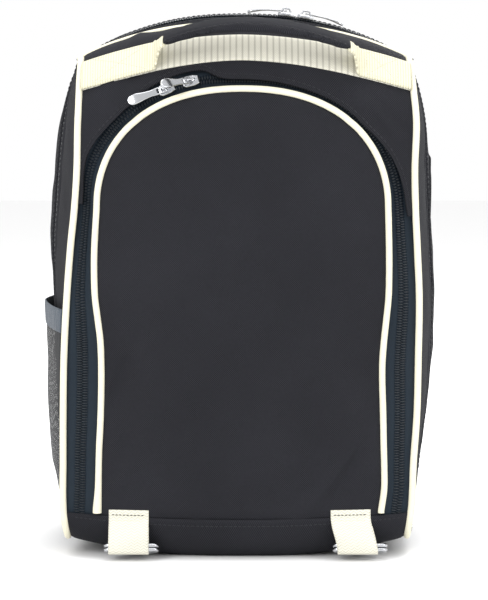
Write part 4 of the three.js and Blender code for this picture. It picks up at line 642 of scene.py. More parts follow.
# %% A smooth finish: metal or plastic, with fine scratches in its roughness
def hard(name, colour, rough, metallic=0.0, coat=0.0, scale=240.0, bump=0.05, spread=0.12):
    made = bpy.data.materials.new(name)
    made.use_nodes = True
    tree = made.node_tree
    shader = tree.nodes["Principled BSDF"]
    shader.inputs["Base Color"].default_value = (*colour, 1)
    shader.inputs["Metallic"].default_value = metallic
    shader.inputs["Coat Weight"].default_value = coat
    place = node(tree, "ShaderNodeTexCoord")
    grain = node(tree, "ShaderNodeTexNoise", Scale=scale, Detail=4.0)
    tree.links.new(place.outputs["Object"], grain.inputs["Vector"])
    rough_at = sums(tree, "MULTIPLY_ADD", grain.outputs["Fac"], spread, rough - spread / 2)
    tree.links.new(rough_at, shader.inputs["Roughness"])
    raise_it = node(tree, "ShaderNodeBump", Strength=bump, Distance=0.0002)
    tree.links.new(grain.outputs["Fac"], raise_it.inputs["Height"])
    tree.links.new(raise_it.outputs[0], shader.inputs["Normal"])
    return made


CHARCOAL = woven("charcoal polyester", (0.0002, 0.0002, 0.0004), (0.036, 0.037, 0.046), pitch=1.5, slant=0.0,
                 bump=0.6, sheen=0.0, size=9.0)
CREAM = woven("cream piping cloth", (0.66, 0.62, 0.46), (0.83, 0.81, 0.68), pitch=0.8, slant=0.25,
              bump=0.3, depth=0.12, sheen=0.1)
DARK_WEBBING = woven("dark webbing", (0.006, 0.006, 0.007), (0.035, 0.036, 0.042),
                     pitch=1.4, slant=0.3, bump=0.5)
TAPE = woven("zipper tape", (0.003, 0.0055, 0.0095), (0.026, 0.040, 0.056), pitch=1.0, slant=0.3,
             bump=0.35, depth=0.15)
BINDING = woven("elastic binding", (0.018, 0.026, 0.038), (0.075, 0.10, 0.13), pitch=0.9, slant=0.0,
                bump=0.4, rough=0.55)
DARK_THREAD = woven("dark thread", (0.012, 0.012, 0.015), (0.05, 0.052, 0.06), pitch=0.5, bump=0.2)
CREAM_THREAD = woven("cream thread", (0.55, 0.52, 0.42), (0.85, 0.83, 0.74), pitch=0.5, bump=0.2)
COIL = hard("zipper coil", (0.005, 0.009, 0.014), 0.30, coat=0.1, spread=0.1)
NICKEL = hard("nickel plate", (0.50, 0.51, 0.53), 0.20, metallic=1.0, spread=0.12, bump=0.03)
BLACK_PLASTIC = hard("moulded buckle", (0.017, 0.017, 0.019), 0.42, spread=0.14, bump=0.15)
print("finishes:", len(bpy.data.materials))


# %% Handing a piece its finish and its body, and hiding its solid
def fit(obj, material, slot, *nodes, body="bag"):
    obj.data.materials.append(material)
    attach(obj, body)
    if nodes:
        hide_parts(*nodes)
    return obj


# %% [markdown]
# ## The front flap
# A foam-filled cloth sewn into the arch piping. It swells in the middle, dips into the seam all round,
# gathers a little beside it and has a few soft folds near the base, where the bag stands on itself.

# %% Soft folds of the front cloth: x, z, half length, half width, turn, height
FOLDS = [
    (-92, 120, 34, 3.6, 20, -2.0), (-84, 96, 26, 4.0, 30, 0.9), (-98, 168, 22, 3.0, 8, -0.9),
    (-78, 150, 24, 5.0, -24, 0.7), (68, 62, 34, 4.5, 38, 2.2), (82, 74, 30, 4.2, 30, -2.1),
    (44, 48, 26, 5.0, 52, -0.9), (94, 60, 22, 3.4, 20, 1.0), (-40, 52, 40, 9.0, -60, -0.9),
    (-84, 60, 26, 5.5, 22, 1.0), (96, 118, 26, 4.0, -14, -0.8), (20, 62, 34, 8.0, 66, 0.7)]


def folds_at(x, z, folds):
    total = 0
    for fx, fz, long, wide, turn, high in folds:
        c, n = math.cos(math.radians(turn)), math.sin(math.radians(turn))
        a, b = (x - fx) * c - (z - fz) * n, (x - fx) * n + (z - fz) * c
        total = total + high * np.exp(-(a / wide) ** 2 - (b / long) ** 2)
    return total


CORNER_LEFT, CORNER_RIGHT = 0.385, 0.615


def flap_cut(u, v, inside=-0.6):
    def edge(along):
        return np.stack(arch_at(along, inside), -1)

    foot = [edge(0.0)[..., 0], edge(1.0)[..., 0]]
    low = mix(foot[0], foot[1], u)
    bottom = np.stack([low, band_top(low) - 1.0], -1)
    top = edge(mix(CORNER_LEFT, CORNER_RIGHT, u))
    bl, br = [np.stack([np.full_like(u, f), np.full_like(u, float(band_top(f)) - 1.0)], -1) for f in foot]
    tl, tr = [np.broadcast_to(edge(c), bl.shape) for c in (CORNER_LEFT, CORNER_RIGHT)]
    low_end = np.exp(-v * 45)[:, None]
    left = edge(mix(0.002, CORNER_LEFT, v)) + (bl - edge(0.002)) * low_end
    right = edge(mix(0.998, CORNER_RIGHT, v)) + (br - edge(0.998)) * low_end
    u, v = u[:, None], v[:, None]
    return ((1 - v) * bottom + v * top + (1 - u) * left + u * right
            - (1 - u) * (1 - v) * bl - u * (1 - v) * br - (1 - u) * v * tl - u * v * tr)


arch_line_dense = np.stack(arch_at(np.linspace(0, 1, 700), 0), -1)


def from_arch(cut):
    """Distance of each point of the cut from the arch line, and where along it that is."""
    nearest, where = np.full(len(cut), 1e9), np.zeros(len(cut), int)
    for start in range(0, len(cut), 2000):
        part = cut[start:start + 2000]
        far = np.linalg.norm(part[:, None, :] - arch_line_dense[None], axis=2)
        where[start:start + 2000] = far.argmin(1)
        nearest[start:start + 2000] = far.min(1)
    return nearest, where / 699 * ARCH_LENGTH


def flap_place(u, v):
    cut = flap_cut(u, v)
    x, s = cut[:, 0], cut[:, 1]
    _, z, _, _ = seam_line(s)
    far, run = from_arch(cut)
    above = s - band_top(x)
    lift = 0.9 + tuck(far, 2.2, 3.2) + pucker(far, run, 8, 0.3, 8) + tuck(above, 1.2, 3.0)
    lift = lift + folds_at(x, z, FOLDS) * (1 - np.exp(-(far / 7) ** 2)) + 0.35 * rumple(x, s, 58, 0.7)
    return front(x, s, lift)


flap = cloth("flap", 150, 190, flap_place, lambda u, v: tuple(flap_cut(u, v).T))
fit(flap, CHARCOAL, "cloth", "arch_panel")
print("flap:", len(flap.data.polygons), "faces")

# %% [markdown]
# ## Base and band
# The base is one cloth with the band that turns up in front. The band's upper edge is folded under
# and stitched down over the foot of the flap.


# %% The base and its band
def base_cut(u, v):
    share = 2 * u - 1
    side = np.where(share < 0, -1.0, 1.0)
    s = mix(0.6, FRONT_FROM, v)
    x = np.abs(share) * (edge_x(side, s) - side * 0.4)
    top = band_top(x) + 0.6
    s = np.where(v > 0.5, mix(mix(0.6, FRONT_FROM, 0.5), top, (v - 0.5) * 2), s)
    x = np.abs(share) * (edge_x(side, s) - side * 0.4)
    return x, s


def base_place(u, v):
    x, s = base_cut(u, v)
    y, z, out_y, _ = seam_line(s)
    side = np.abs(edge_x(np.where(x < 0, -1.0, 1.0), s)) - np.abs(x)
    below = band_top(x) + 0.6 - s
    lift = 0.5 + tuck(side, 1.6, 3.0) + 0.5 * out_y**2 * (1 - np.exp(-below / 1.2))
    lift = lift + pucker(below, x, 11, 0.35, 6, 1.3) * out_y**2 + 0.35 * rumple(x, s, 44, 2.1) * (out_y**2)
    flat_z = front(x, s, lift)
    flat_z[:, 2] = np.maximum(flat_z[:, 2], 0.05)
    return flat_z


base = cloth("base_and_band", 120, 130, base_place, base_cut)
fit(base, CHARCOAL, "cloth", "base_panel")


# %% [markdown]
# ## Top border
# The cloth between the zipper and the edge piping, which runs on over the top to the seam behind the
# handle. It covers part of the zipper tape, with a folded edge and a row of stitches.

# %% The top border
centre = np.array([arch_middle, float(length_at(arch_middle, CORNER_HEIGHT * LEGS[-1, 0]))])


def border_inner(along):
    return np.stack(arch_at(along, np.minimum(zip_at(3, along), room(along) - SEAM_INSET - 1)), -1)


def to_edge(x, s):
    aside = np.abs(edge_x(np.where(x < 0, -1.0, 1.0), s)) - np.abs(x)
    ahead = TOP_SEAM - s
    corner = SEAM_CORNER - np.hypot(SEAM_CORNER - aside, SEAM_CORNER - ahead)
    return np.where((aside > SEAM_CORNER) | (ahead > SEAM_CORNER), np.minimum(aside, ahead), corner)


def border_outer(inner, inset=0.6):
    ray = inner - centre
    near, far = np.ones(len(inner)), np.full(len(inner), 4.0)
    for _ in range(34):
        middle = (near + far) / 2
        point = centre + ray * middle[:, None]
        inside = to_edge(point[:, 0], point[:, 1]) > inset
        near, far = np.where(inside, middle, near), np.where(inside, far, middle)
    return centre + ray * near[:, None]


def border_cut(u, v):
    inner = border_inner(mix(PANEL_FROM - 0.012, PANEL_TO + 0.012, u))
    outer = border_outer(inner)
    return mix(inner, outer, v[:, None])


BORDER_FOLDS = [(-84, 352, 30, 4.0, 46, 2.0), (-73, 346, 26, 5.0, 46, -1.4), (98, 322, 22, 4.0, -38, 2.0),
                (90, 333, 20, 4.6, -46, -2.1), (-96, 322, 24, 5.0, 20, 0.8), (66, 352, 20, 6.0, -55, 0.8)]


def border_place(u, v):
    cut = border_cut(u, v)
    x, s = cut[:, 0], cut[:, 1]
    _, z, out_y, _ = seam_line(s)
    along = mix(PANEL_FROM, PANEL_TO, u)
    edge = to_edge(x, s)
    inner = border_inner(along)
    fold = np.hypot(x - inner[:, 0], s - inner[:, 1])
    lift = 0.7 + tuck(edge, 2.0, 3.0) - 0.5 * np.exp(-(fold / 1.1) ** 2)
    lift = lift - 0.35 * np.exp(-((fold - 3.2) / 0.9) ** 2)
    lift = lift + pucker(edge, along * ARCH_LENGTH, 10, 0.4, 9, 2.3)
    lift = lift + 0.4 * rumple(x, s, 42, 1.9) * np.minimum(1, fold / 6)
    lift = lift + folds_at(x, z, BORDER_FOLDS) * np.minimum(1, fold / 8) * (1 - np.exp(-edge / 4))
    return front(x, s, lift)


border = cloth("top_border", 300, 50, border_place, lambda u, v: tuple(border_cut(u, v).T))
fit(border, CHARCOAL, "cloth", "top_panel")

# %% [markdown]
# ## Sides, gussets and back
# The sides of the front section are flat cloths between two seams. The rear section is one long
# gusset, cut along the main zipper. The back is padded against the wearer.


# %% Side walls of the front section
def side_wall(side):
    def cut(u, v):
        s = mix(BASE_RUN - BASE_RADIUS + 3, TOP_SEAM - 2, v)
        y, z, out_y, out_z = seam_line(s)
        z = z - out_z * 1.2
        return mix(y - out_y * 1.0, SEAM_Y + 0.4, u), z

    def place(u, v):
        y, z = cut(u, v)
        seam = np.minimum(u, 1 - u) * FRONT_SECTION
        end = np.minimum(v, 1 - v) * TOP_SEAM
        lift = 0.8 + tuck(u * FRONT_SECTION, 1.6, 3.0) + tuck(end, 1.6, 4)
        lift = lift - 0.9 * np.exp(-((1 - u) * FRONT_SECTION / 1.6) ** 2)
        lift = lift + pucker(seam, z, 12, 0.35, 10, side)
        lift = lift + 0.7 * rumple(y, z, 52, 0.4 + side) + 0.5 * rumple(y * 0.4, z, 30, 1 + side)
        return sides[side](y, z, lift)

    return cut, place


for side, name in ((-1, "left"), (1, "right")):
    cut, place = side_wall(side)
    wall = cloth(f"front_side_cloth_{name}", 40, 220, place, cut)
    fit(wall, CHARCOAL, "cloth", f"front_side_{name}")

# %% The two strips of the gusset, on both sides of the main zipper
ZIP_END, ZIP_SLOT = 190.0, 7.5
ROOF_HALF, SHOULDER_RUN = 105, 33
BASE_STATION = 3 - 0.4 / (SIDE_RUN - SHOULDER_RADIUS)


def slot_at(z):
    return mix(0.0, ZIP_SLOT - 1.2, ease(z, ZIP_END - 6, ZIP_END + 4))


def run_at(station):
    """Length along the gusset from its middle, in millimetres, near enough for a weave."""
    k = np.abs(station)
    down = np.maximum(k - 2, 0) * (SIDE_RUN - SHOULDER_RADIUS)
    return np.sign(station) * (np.minimum(k, 1) * ROOF_HALF + np.clip(k - 1, 0, 1) * SHOULDER_RUN + down)


strip_places = {}


def strip(name, node_name, rows, front_edge, back_edge, zip_side, seed):
    def cut(u, v):
        station = mix(-BASE_STATION, BASE_STATION, u)
        z = rear_skin(station, ZIP_Y)[:, 2]
        return run_at(station), mix(front_edge(station, z), back_edge(station, z), v)

    def place(u, v):
        station = mix(-BASE_STATION, BASE_STATION, u)
        z = rear_skin(station, ZIP_Y)[:, 2]
        a, b = front_edge(station, z), back_edge(station, z)
        y = mix(a, b, v)
        at_zip = np.abs(y - (b if zip_side > 0 else a))
        at_seam = np.abs(y - (a if zip_side > 0 else b))
        base_end = (3 - np.abs(station)) * (SIDE_RUN - SHOULDER_RADIUS)
        lift = 0.8 + tuck(at_seam, 1.8, 3.0) + tuck(base_end, 1.6, 3) - 0.5 * np.exp(-(at_zip / 1.1) ** 2)
        wide = np.clip(np.minimum(at_zip, at_seam) / 14, 0, 1)
        lift = lift + pucker(at_seam, run_at(station), 12, 0.35, 10, seed)
        slack = 1.1 * rumple(run_at(station), y, 70, seed) + 0.6 * rumple(run_at(station), y, 32, seed + 2)
        lift = lift + wide * slack
        return rear(station, y, lift)

    made = cloth(name, 420, rows, place, cut)
    fit(made, CHARCOAL, "cloth", node_name)
    strip_places[name] = place
    return made


strip("gusset_cloth_front", "gusset_front", 10, lambda k, z: np.full_like(k, SEAM_Y + 0.4),
      lambda k, z: ZIP_Y - slot_at(z), 1, 3.3)
strip("gusset_cloth_rear", "gusset_rear", 60, lambda k, z: ZIP_Y + slot_at(z),
      lambda k, z: np.full_like(k, BACK_Y - 0.6), -1, 4.4)


# %% The back panel: a padded cloth sewn in all round, and its piping
def back_outline():
    stations = np.concatenate([
        np.linspace(-3 + 9 / SIDE_RUN, -2, 60), np.linspace(-2, -1, 14)[1:], np.linspace(-1, 1, 70)[1:],
        np.linspace(1, 2, 14)[1:], np.linspace(2, 3 - 9 / SIDE_RUN, 60)[1:]])
    ring = rear_skin(stations, BACK_Y)
    corner = {side: rear_skin(side * 3.0, BACK_Y) for side in (-1, 1)}
    under = front_skin(np.linspace(corner[1][0] - 9, corner[-1][0] + 9, 70), 0.0)

    def turn(side, a, b):
        t = np.linspace(0, 1, 10)[1:-1, None]
        return (1 - t) ** 2 * a + 2 * t * (1 - t) * corner[side] + t**2 * b

    return np.concatenate([ring, turn(1, ring[-1], under[0]), under, turn(-1, under[-1], ring[0])])


outline = back_outline()
outline_run = run_of(np.concatenate([outline, outline[:1]]))
back_middle = np.array([0, BACK_Y, CORNER_HEIGHT * 0.53])
QUILT_LINES = [60.0, 128.0, 262.0]


def back_place(u, v):
    at = (u % 1) * outline_run[-1]
    ring = along_path(at, outline_run, np.concatenate([outline, outline[:1]]))
    share = np.clip(v, 0.004, 1) * 0.994
    out = mix(back_middle, ring, share[:, None])
    rim = (1 - share) * np.linalg.norm(ring - back_middle, axis=1)
    lift = BACK_CROWN * (1 - share**2.6) + 0.4 + tuck(rim, 2.0, 3.4) + pucker(rim, at, 11, 0.35, 9, 5.1)
    for line in QUILT_LINES:
        off = np.abs(out[:, 2] - line)
        lift = lift - 1.5 * np.exp(-(off / 2.4) ** 2) + 0.9 * np.exp(-((off - 12) / 9) ** 2)
    out[:, 1] += lift + 0.35 * rumple(out[:, 0], out[:, 2], 60, 5.7)
    return out


def back_cut(u, v):
    place = back_place(u, v)
    return place[:, 0], place[:, 2]


def close_disc(obj):
    bm = bmesh.new()
    bm.from_mesh(obj.data)
    bmesh.ops.remove_doubles(bm, verts=bm.verts, dist=1e-6)
    bm.to_mesh(obj.data)
    bm.free()


back = cloth("back_cloth", 300, 70, back_place, back_cut)
close_disc(back)
fit(back, CHARCOAL, "cloth", "back_panel")
print("back: quilted along", len(QUILT_LINES), "lines")

# %% [markdown]
# ## Pipings
# A cord wrapped in a strip of cream cloth and caught in the seam. It is round and a little uneven along its
# length.


# %% Pipings along the arch, the front edges and the back
def piping(name, path, node_name, closed=False, thick=4.9, flare=0.0):
    run = run_of(path)
    uneven = 0.018 * rumple(run, 0, 17, 0.3) + 0.012 * rumple(run, 0, 5.5, 1.3)
    bend = thick / 2 * (1 + uneven + flare * np.exp(-(run / 14) ** 2))
    made = tube(name, path, bend, path - CORE, 14, closed)
    fit(made, CREAM, "piping", node_name)
    return made


arch_stations = np.linspace(-0.0025, 1.0025, 520)
piping("arch_piping_cloth", on_arch(arch_stations, 0.0), "arch_piping", thick=4.7, flare=0.4)

up = np.concatenate([np.linspace(low, high, count)[:-1] for low, high, count in (
    (BASE_RUN - BASE_RADIUS, BASE_RUN, 12), (BASE_RUN, FRONT_FROM, 26), (FRONT_FROM, ROOF_FROM, 150),
    (ROOF_FROM, ROOF_TO, 44), (ROOF_TO, TOP_SEAM - SEAM_CORNER, 6))])
turn = np.linspace(0, math.pi / 2, 10)


def edge_line():
    def leg(side):
        s = TOP_SEAM - SEAM_CORNER + SEAM_CORNER * np.sin(turn)
        corner = np.stack([edge_x(side, s) - side * SEAM_CORNER * (1 - np.cos(turn)), s], 1)
        return np.concatenate([np.stack([edge_x(side, up), up], 1), corner])

    left, right = leg(-1), leg(1)
    across = np.linspace(left[-1, 0], right[-1, 0], 110)[1:-1]
    return np.concatenate([left, np.stack([across, np.full_like(across, TOP_SEAM)], 1), right[::-1]])


edge_path = front_skin(*edge_line().T)
piping("edge_piping_cloth", edge_path, "edge_piping")
piping("back_piping_cloth", outline, "back_piping", closed=True)

# %% [markdown]
# ## Zippers
# A coil zipper is two woven tapes, each with a spiral of nylon sewn on. Seen from the front it is two
# rows of short bars that meet in the middle. One bar is a small capsule, copied along the zipper.


# %% A small capsule, used for the zipper's bars and for stitches
def capsule(name, sides=6, rings=4):
    """A capsule one unit long on x and one unit thick."""
    bm = bmesh.new()
    bmesh.ops.create_uvsphere(bm, u_segments=sides, v_segments=rings, radius=0.5)
    bmesh.ops.rotate(bm, verts=bm.verts, cent=(0, 0, 0), matrix=Matrix.Rotation(math.pi / 2, 3, "Y"))
    mesh = bpy.data.meshes.new(name)
    bm.to_mesh(mesh)
    bm.free()
    return mesh


BAR = capsule("bar", 6, 4)


def unit(rows):
    return rows / (np.linalg.norm(rows, axis=1, keepdims=True) + 1e-12)


def coil(name, middle, across, out, half, node_name, pitch=1.9):
    """Two rows of bars along a zipper: middle, across and out are given at each bar."""
    count = len(middle)
    parts = []
    for side in (-1, 1):
        pick = np.arange(0 if side < 0 else 1, count, 2)
        centre = middle[pick] + across[pick] * (side * half[pick] * 0.47)[:, None]
        parts.append((centre, across[pick] * (half[pick] * 1.12)[:, None], pick))
    centres = np.concatenate([p[0] for p in parts])
    long_axis = np.concatenate([p[1] for p in parts])
    pick = np.concatenate([p[2] for p in parts])
    ahead = np.cross(out[pick], unit(long_axis)) * (pitch * 0.62)
    lean = ahead * 0.10 * np.sign(np.sum(centres - middle[pick], 1))[:, None]
    bars = scatter(name, BAR, centres, long_axis + lean, ahead, out[pick] * 2.3)
    fit(bars, COIL, "zip_coil", node_name)
    return bars


PITCH = 1.9
count = int(ARCH_LENGTH / PITCH * 2)
places = np.linspace(-0.004, 1.004, count)
half = zip_at(2, places)
middle = on_arch(places, coil_middle(places), -zip_at(4, places) - 0.9)
outer = on_arch(places, coil_middle(places) + 1, -zip_at(4, places) - 0.9)
out = unit(on_arch(places, coil_middle(places), 1 - zip_at(4, places))
           - on_arch(places, coil_middle(places), -zip_at(4, places)))
coil("front_zip_teeth", middle, unit(outer - middle), out, half, "front_zip_coil")

half_way = np.linspace(0, 1, 800)
stations = np.concatenate([-half_way[::-1], half_way[1:]]) * station_at(ZIP_END + 4)
zip_path = rear_skin(stations, ZIP_Y)
zip_run = run_of(zip_path)
even = np.interp(np.arange(0, zip_run[-1], PITCH / 2), zip_run, stations)
middle = rear(even, ZIP_Y + 0 * even, -0.9)
out = unit(rear(even, ZIP_Y + 0 * even, 1) - rear(even, ZIP_Y + 0 * even, 0))
aside = unit(rear_skin(even, ZIP_Y + 1 + 0 * even) - rear_skin(even, ZIP_Y + 0 * even))
coil("main_zip_teeth", middle, aside, out, np.full(len(even), 4.0), "main_zip_coil")
print("zipper bars:", count + len(even))


# %% Tapes: woven strips that lie a little deeper than the bars
TAPE_PAST = 0.011


def tape(name, node_names, place, columns, rows, flat):
    made = cloth(name, columns, rows, place, flat, 0.9)
    fit(made, TAPE, "zip_tape", *node_names)
    return made


def tape_cut(low, high):
    def cut(u, v):
        along = mix(-TAPE_PAST, 1 + TAPE_PAST, u)
        return along * ARCH_LENGTH, mix(low(along), high(along), v)
    return cut


def tape_place(low, high, deep=1.3):
    def place(u, v):
        along = mix(-TAPE_PAST, 1 + TAPE_PAST, u)
        offset = mix(low(along), high(along), v)
        ripple = 0.12 * rumple(along * ARCH_LENGTH, offset, 16, 2.2)
        return on_arch(along, offset, -zip_at(4, along) - deep + ripple)
    return place


def tape_inner(along):
    return np.minimum(1.4, coil_middle(along) - zip_at(2, along) - 0.5)


def tape_edge(along):
    return np.maximum(coil_middle(along) + zip_at(2, along) + 1.2, room(along) - 0.8)


tape("front_zip_tape", ["front_zip_tape_inner", "front_zip_tape_outer_left", "front_zip_tape_outer_right"],
     tape_place(tape_inner, tape_edge), 420, 10, tape_cut(tape_inner, tape_edge))

MAIN_FROM = station_at(ZIP_END - 4)
tape("main_zip_tape", ["main_zip_tape_front", "main_zip_tape_rear"],
     lambda u, v: rear(mix(-MAIN_FROM, MAIN_FROM, u), ZIP_Y + mix(-8.4, 8.4, v),
                       -1.5 + 0.1 * rumple(u * 900, v * 16, 14, 1.1)),
     360, 8, lambda u, v: (run_at(mix(-MAIN_FROM, MAIN_FROM, u)), mix(-8.4, 8.4, v)))

# %% [markdown]
# ## Rows of stitches
# A row of stitches is a thread that dips in and out of the cloth. Only the upper loops show, so each is
# a small capsule that lies in the cloth. They follow a line drawn in a cloth's own two numbers.


# %% Stitches along a line on a cloth
def on_line(place, u, v, step=1e-3):
    point = place(u, v)
    across = place(u + step, v) - place(u - step, v)
    along = place(u, v + step) - place(u, v - step)
    out = unit(np.cross(across, along))
    away = np.sum(out * (point - CORE), 1)
    return point, out * np.where(away < 0, -1, 1)[:, None]


def stitches(name, place, corners, finish, slot, long=2.7, step=3.8, thick=0.75, sunk=0.1, body="bag"):
    """corners are points in the cloth's own two numbers, each line between them straight on the cut."""
    corners = np.asarray(corners, float)
    count = max(2, int(360 / (len(corners) - 1)))
    share = np.linspace(0, 1, count, endpoint=False)[:, None]
    legs = [mix(a, b, share) for a, b in zip(corners, corners[1:])]
    line = np.concatenate(legs + [corners[-1:]])
    point, out = on_line(place, line[:, 0], line[:, 1])
    run = run_of(point)
    at = np.arange(step / 2, run[-1] - step / 4, step)

    ahead = unit(along_path(at + 0.6, run, point) - along_path(at - 0.6, run, point))
    up = unit(along_path(at, run, out))
    centres = along_path(at, run, point) + up * (thick / 2 - sunk - 0.12)
    made = scatter(name, BAR, centres, ahead * long, unit(np.cross(up, ahead)) * thick, up * thick)
    return fit(made, finish, slot, body=body)


def border_share(u, distance):
    """The border's second number at a distance from its folded edge."""
    inner = border_inner(mix(PANEL_FROM - 0.012, PANEL_TO + 0.012, u))
    return distance / np.linalg.norm(border_outer(inner) - inner, axis=1)


u = np.linspace(0.02, 0.98, 120)
stitches("border_stitches", border_place, np.stack([u, border_share(u, 2.6)], 1), DARK_THREAD, "cloth")
x = np.linspace(0.03, 0.97, 60)
band_row = 0.984
stitches("band_stitches", base_place, np.stack([x, np.full_like(x, band_row)], 1),
         DARK_THREAD, "cloth", 2.4, 3.4)
u = np.linspace(0.02, 0.98, 240)
for place, row in (("front", 0.86), ("rear", 0.03)):
    strip_place = strip_places[f"gusset_cloth_{place}"]
    stitches(f"zip_stitches_{place}", strip_place, np.stack([u, np.full_like(u, row)], 1),
             DARK_THREAD, "cloth")
print("rows of stitches laid on border, band and gusset")

# %% [markdown]
# ## Webbing across the top and the handle
# Two layers of cotton webbing are sewn together at both ends with a box and a cross. Between the boxes
# the upper one turns up and runs through the padded grip.

# %% The webbing's own place on the bag
BAND_WEBBING, WEBBING_THICK, WEBBING_LIFT, GAP = 25.0, 1.6, 2.1, 0.3
GRIP_LEFT, GRIP_RIGHT, GRIP_WIDE, GRIP_THICK, GRIP_FLOAT, GRIP_ARCH = -54.0, 76.0, 26.0, 8.0, 15.5, 9.5
GRIP_WEBBING, GRIP_FLATTEN = 20.0, 0.55
GRIP_MIDDLE, TURN_UP = (GRIP_LEFT + GRIP_RIGHT) / 2, 9.0
# The webbing's lower edge, as shares of the top radius: in the middle, at the ends, and how it curves.
WEBBING_LOW_MIDDLE, WEBBING_LOW_END, WEBBING_LOW_POWER = 0.73, 0.47, 1.6


def webbing_edges(x):
    f = np.clip(np.abs(x) / np.abs(edge_x(np.where(x < 0, -1.0, 1.0), ROOF_FROM + 20)), 0, 1)
    low = ROOF_FROM + TOP_RADIUS * mix(WEBBING_LOW_MIDDLE, WEBBING_LOW_END, f**WEBBING_LOW_POWER)
    per_length = np.linalg.norm(front_skin(x, low + 12) - front_skin(x, low + 11), axis=-1)
    return low, low + BAND_WEBBING / per_length


def webbing_end(side):
    return float(edge_x(side, ROOF_FROM + 26)) - side * 2.6


def webbing_place(u, v):
    x = mix(webbing_end(-1), webbing_end(1), u)
    low, high = webbing_edges(x)
    edge = np.minimum(v, 1 - v) * BAND_WEBBING
    lift = WEBBING_LIFT - 0.45 * np.exp(-edge / 0.9) + 0.12 * rumple(x, v * 28, 46, 0.8)
    return front(x, mix(low, high, v), lift)


def webbing_cut(u, v):
    return mix(webbing_end(-1), webbing_end(1), u), (v - 0.5) * BAND_WEBBING


def grip_float(x):
    return GRIP_FLOAT + GRIP_ARCH * (1 - ((x - GRIP_MIDDLE) / (GRIP_RIGHT - GRIP_MIDDLE)) ** 2)


def handle_point(x, rise, across):
    low, high = webbing_edges(x)
    s = (low + high) / 2
    out = front(x, s, 1.0) - front(x, s, 0.0)
    level = GRIP_FLATTEN * ease(rise, LYING, GRIP_FLOAT)[:, None]
    along = unit(mix(unit(front_skin(x, s + 0.5) - front_skin(x, s - 0.5)), np.array([0, 1.0, 0]), level))
    return front_skin(x, s) + out * rise[:, None] + along * across[:, None]


LYING = WEBBING_LIFT + GAP + WEBBING_THICK
# Taken off each edge of the webbing where the grip covers it, so that it stays inside.
GRIP_TUCK = 4.5


def handle_rise(x):
    left, right = ease(x, GRIP_LEFT - TURN_UP, GRIP_LEFT), ease(-x, -GRIP_RIGHT - TURN_UP, -GRIP_RIGHT)
    in_grip = grip_float(np.clip(x, GRIP_LEFT, GRIP_RIGHT)) + WEBBING_THICK / 2
    return mix(LYING, in_grip, np.minimum(left, right))


def handle_place(u, v):
    x = mix(webbing_end(-1), webbing_end(1), u)
    rise = handle_rise(x)
    low, high = webbing_edges(x)
    edge = np.minimum(v, 1 - v) * BAND_WEBBING
    soft = -0.5 * np.exp(-edge / 0.9) + 0.15 * rumple(x, v * 28, 38, 3.8)
    half = mix(BAND_WEBBING, GRIP_WEBBING, ease(rise, LYING, LYING + 5)) / 2
    half = half - GRIP_TUCK * ease(x, GRIP_LEFT + 1, GRIP_LEFT + 6) * ease(-x, -GRIP_RIGHT + 1, -GRIP_RIGHT + 6)
    on_band = front(x, mix(low, high, v), rise + soft)
    free = handle_point(x, rise + soft, mix(-half, half, v))
    return mix(on_band, free, ease(rise, LYING, LYING + 4)[:, None])


webbing = cloth("top_webbing_cloth", 260, 14, webbing_place, webbing_cut, WEBBING_THICK)
fit(webbing, WEBBING, "webbing", "top_webbing")
handle = cloth("handle_webbing", 300, 14, handle_place, webbing_cut, WEBBING_THICK)
fit(handle, STRAP_WEBBING, "webbing", "handle_strap")

# %% The boxes and crosses that hold the webbing
span = webbing_end(1) - webbing_end(-1)
# Where each box of stitches begins and ends across the bag, and how far it keeps from the webbing's edges.
BOXES = {"left": (-105.0, -67.0), "right": (89.0, 111.0)}
BOX_INSET = 0.1


def at_x(x):
    return (x - webbing_end(-1)) / span


for side, (low, high) in BOXES.items():
    a, b, near_edge, far_edge = at_x(low), at_x(high), BOX_INSET, 1 - BOX_INSET
    box = [(a, near_edge), (b, near_edge), (b, far_edge), (a, far_edge), (a, near_edge), (b, far_edge)]
    stitches(f"handle_box_{side}", handle_place, box, CREAM_THREAD, "webbing", 2.2, 2.9, 0.6)
    stitches(f"handle_cross_{side}", handle_place, [(a, far_edge), (b, near_edge)],
             CREAM_THREAD, "webbing", 2.2, 2.9, 0.6)

# %% [markdown]
# ## Padded pieces
# The grip and the shoulder straps are foam in a cloth sleeve. Each starts a little smaller than it ends,
# is remeshed evenly, and a short cloth simulation with air pressure fills it. The flat cut is laid on
# it afterwards, because a new mesh has no UV map, and so are its seams.


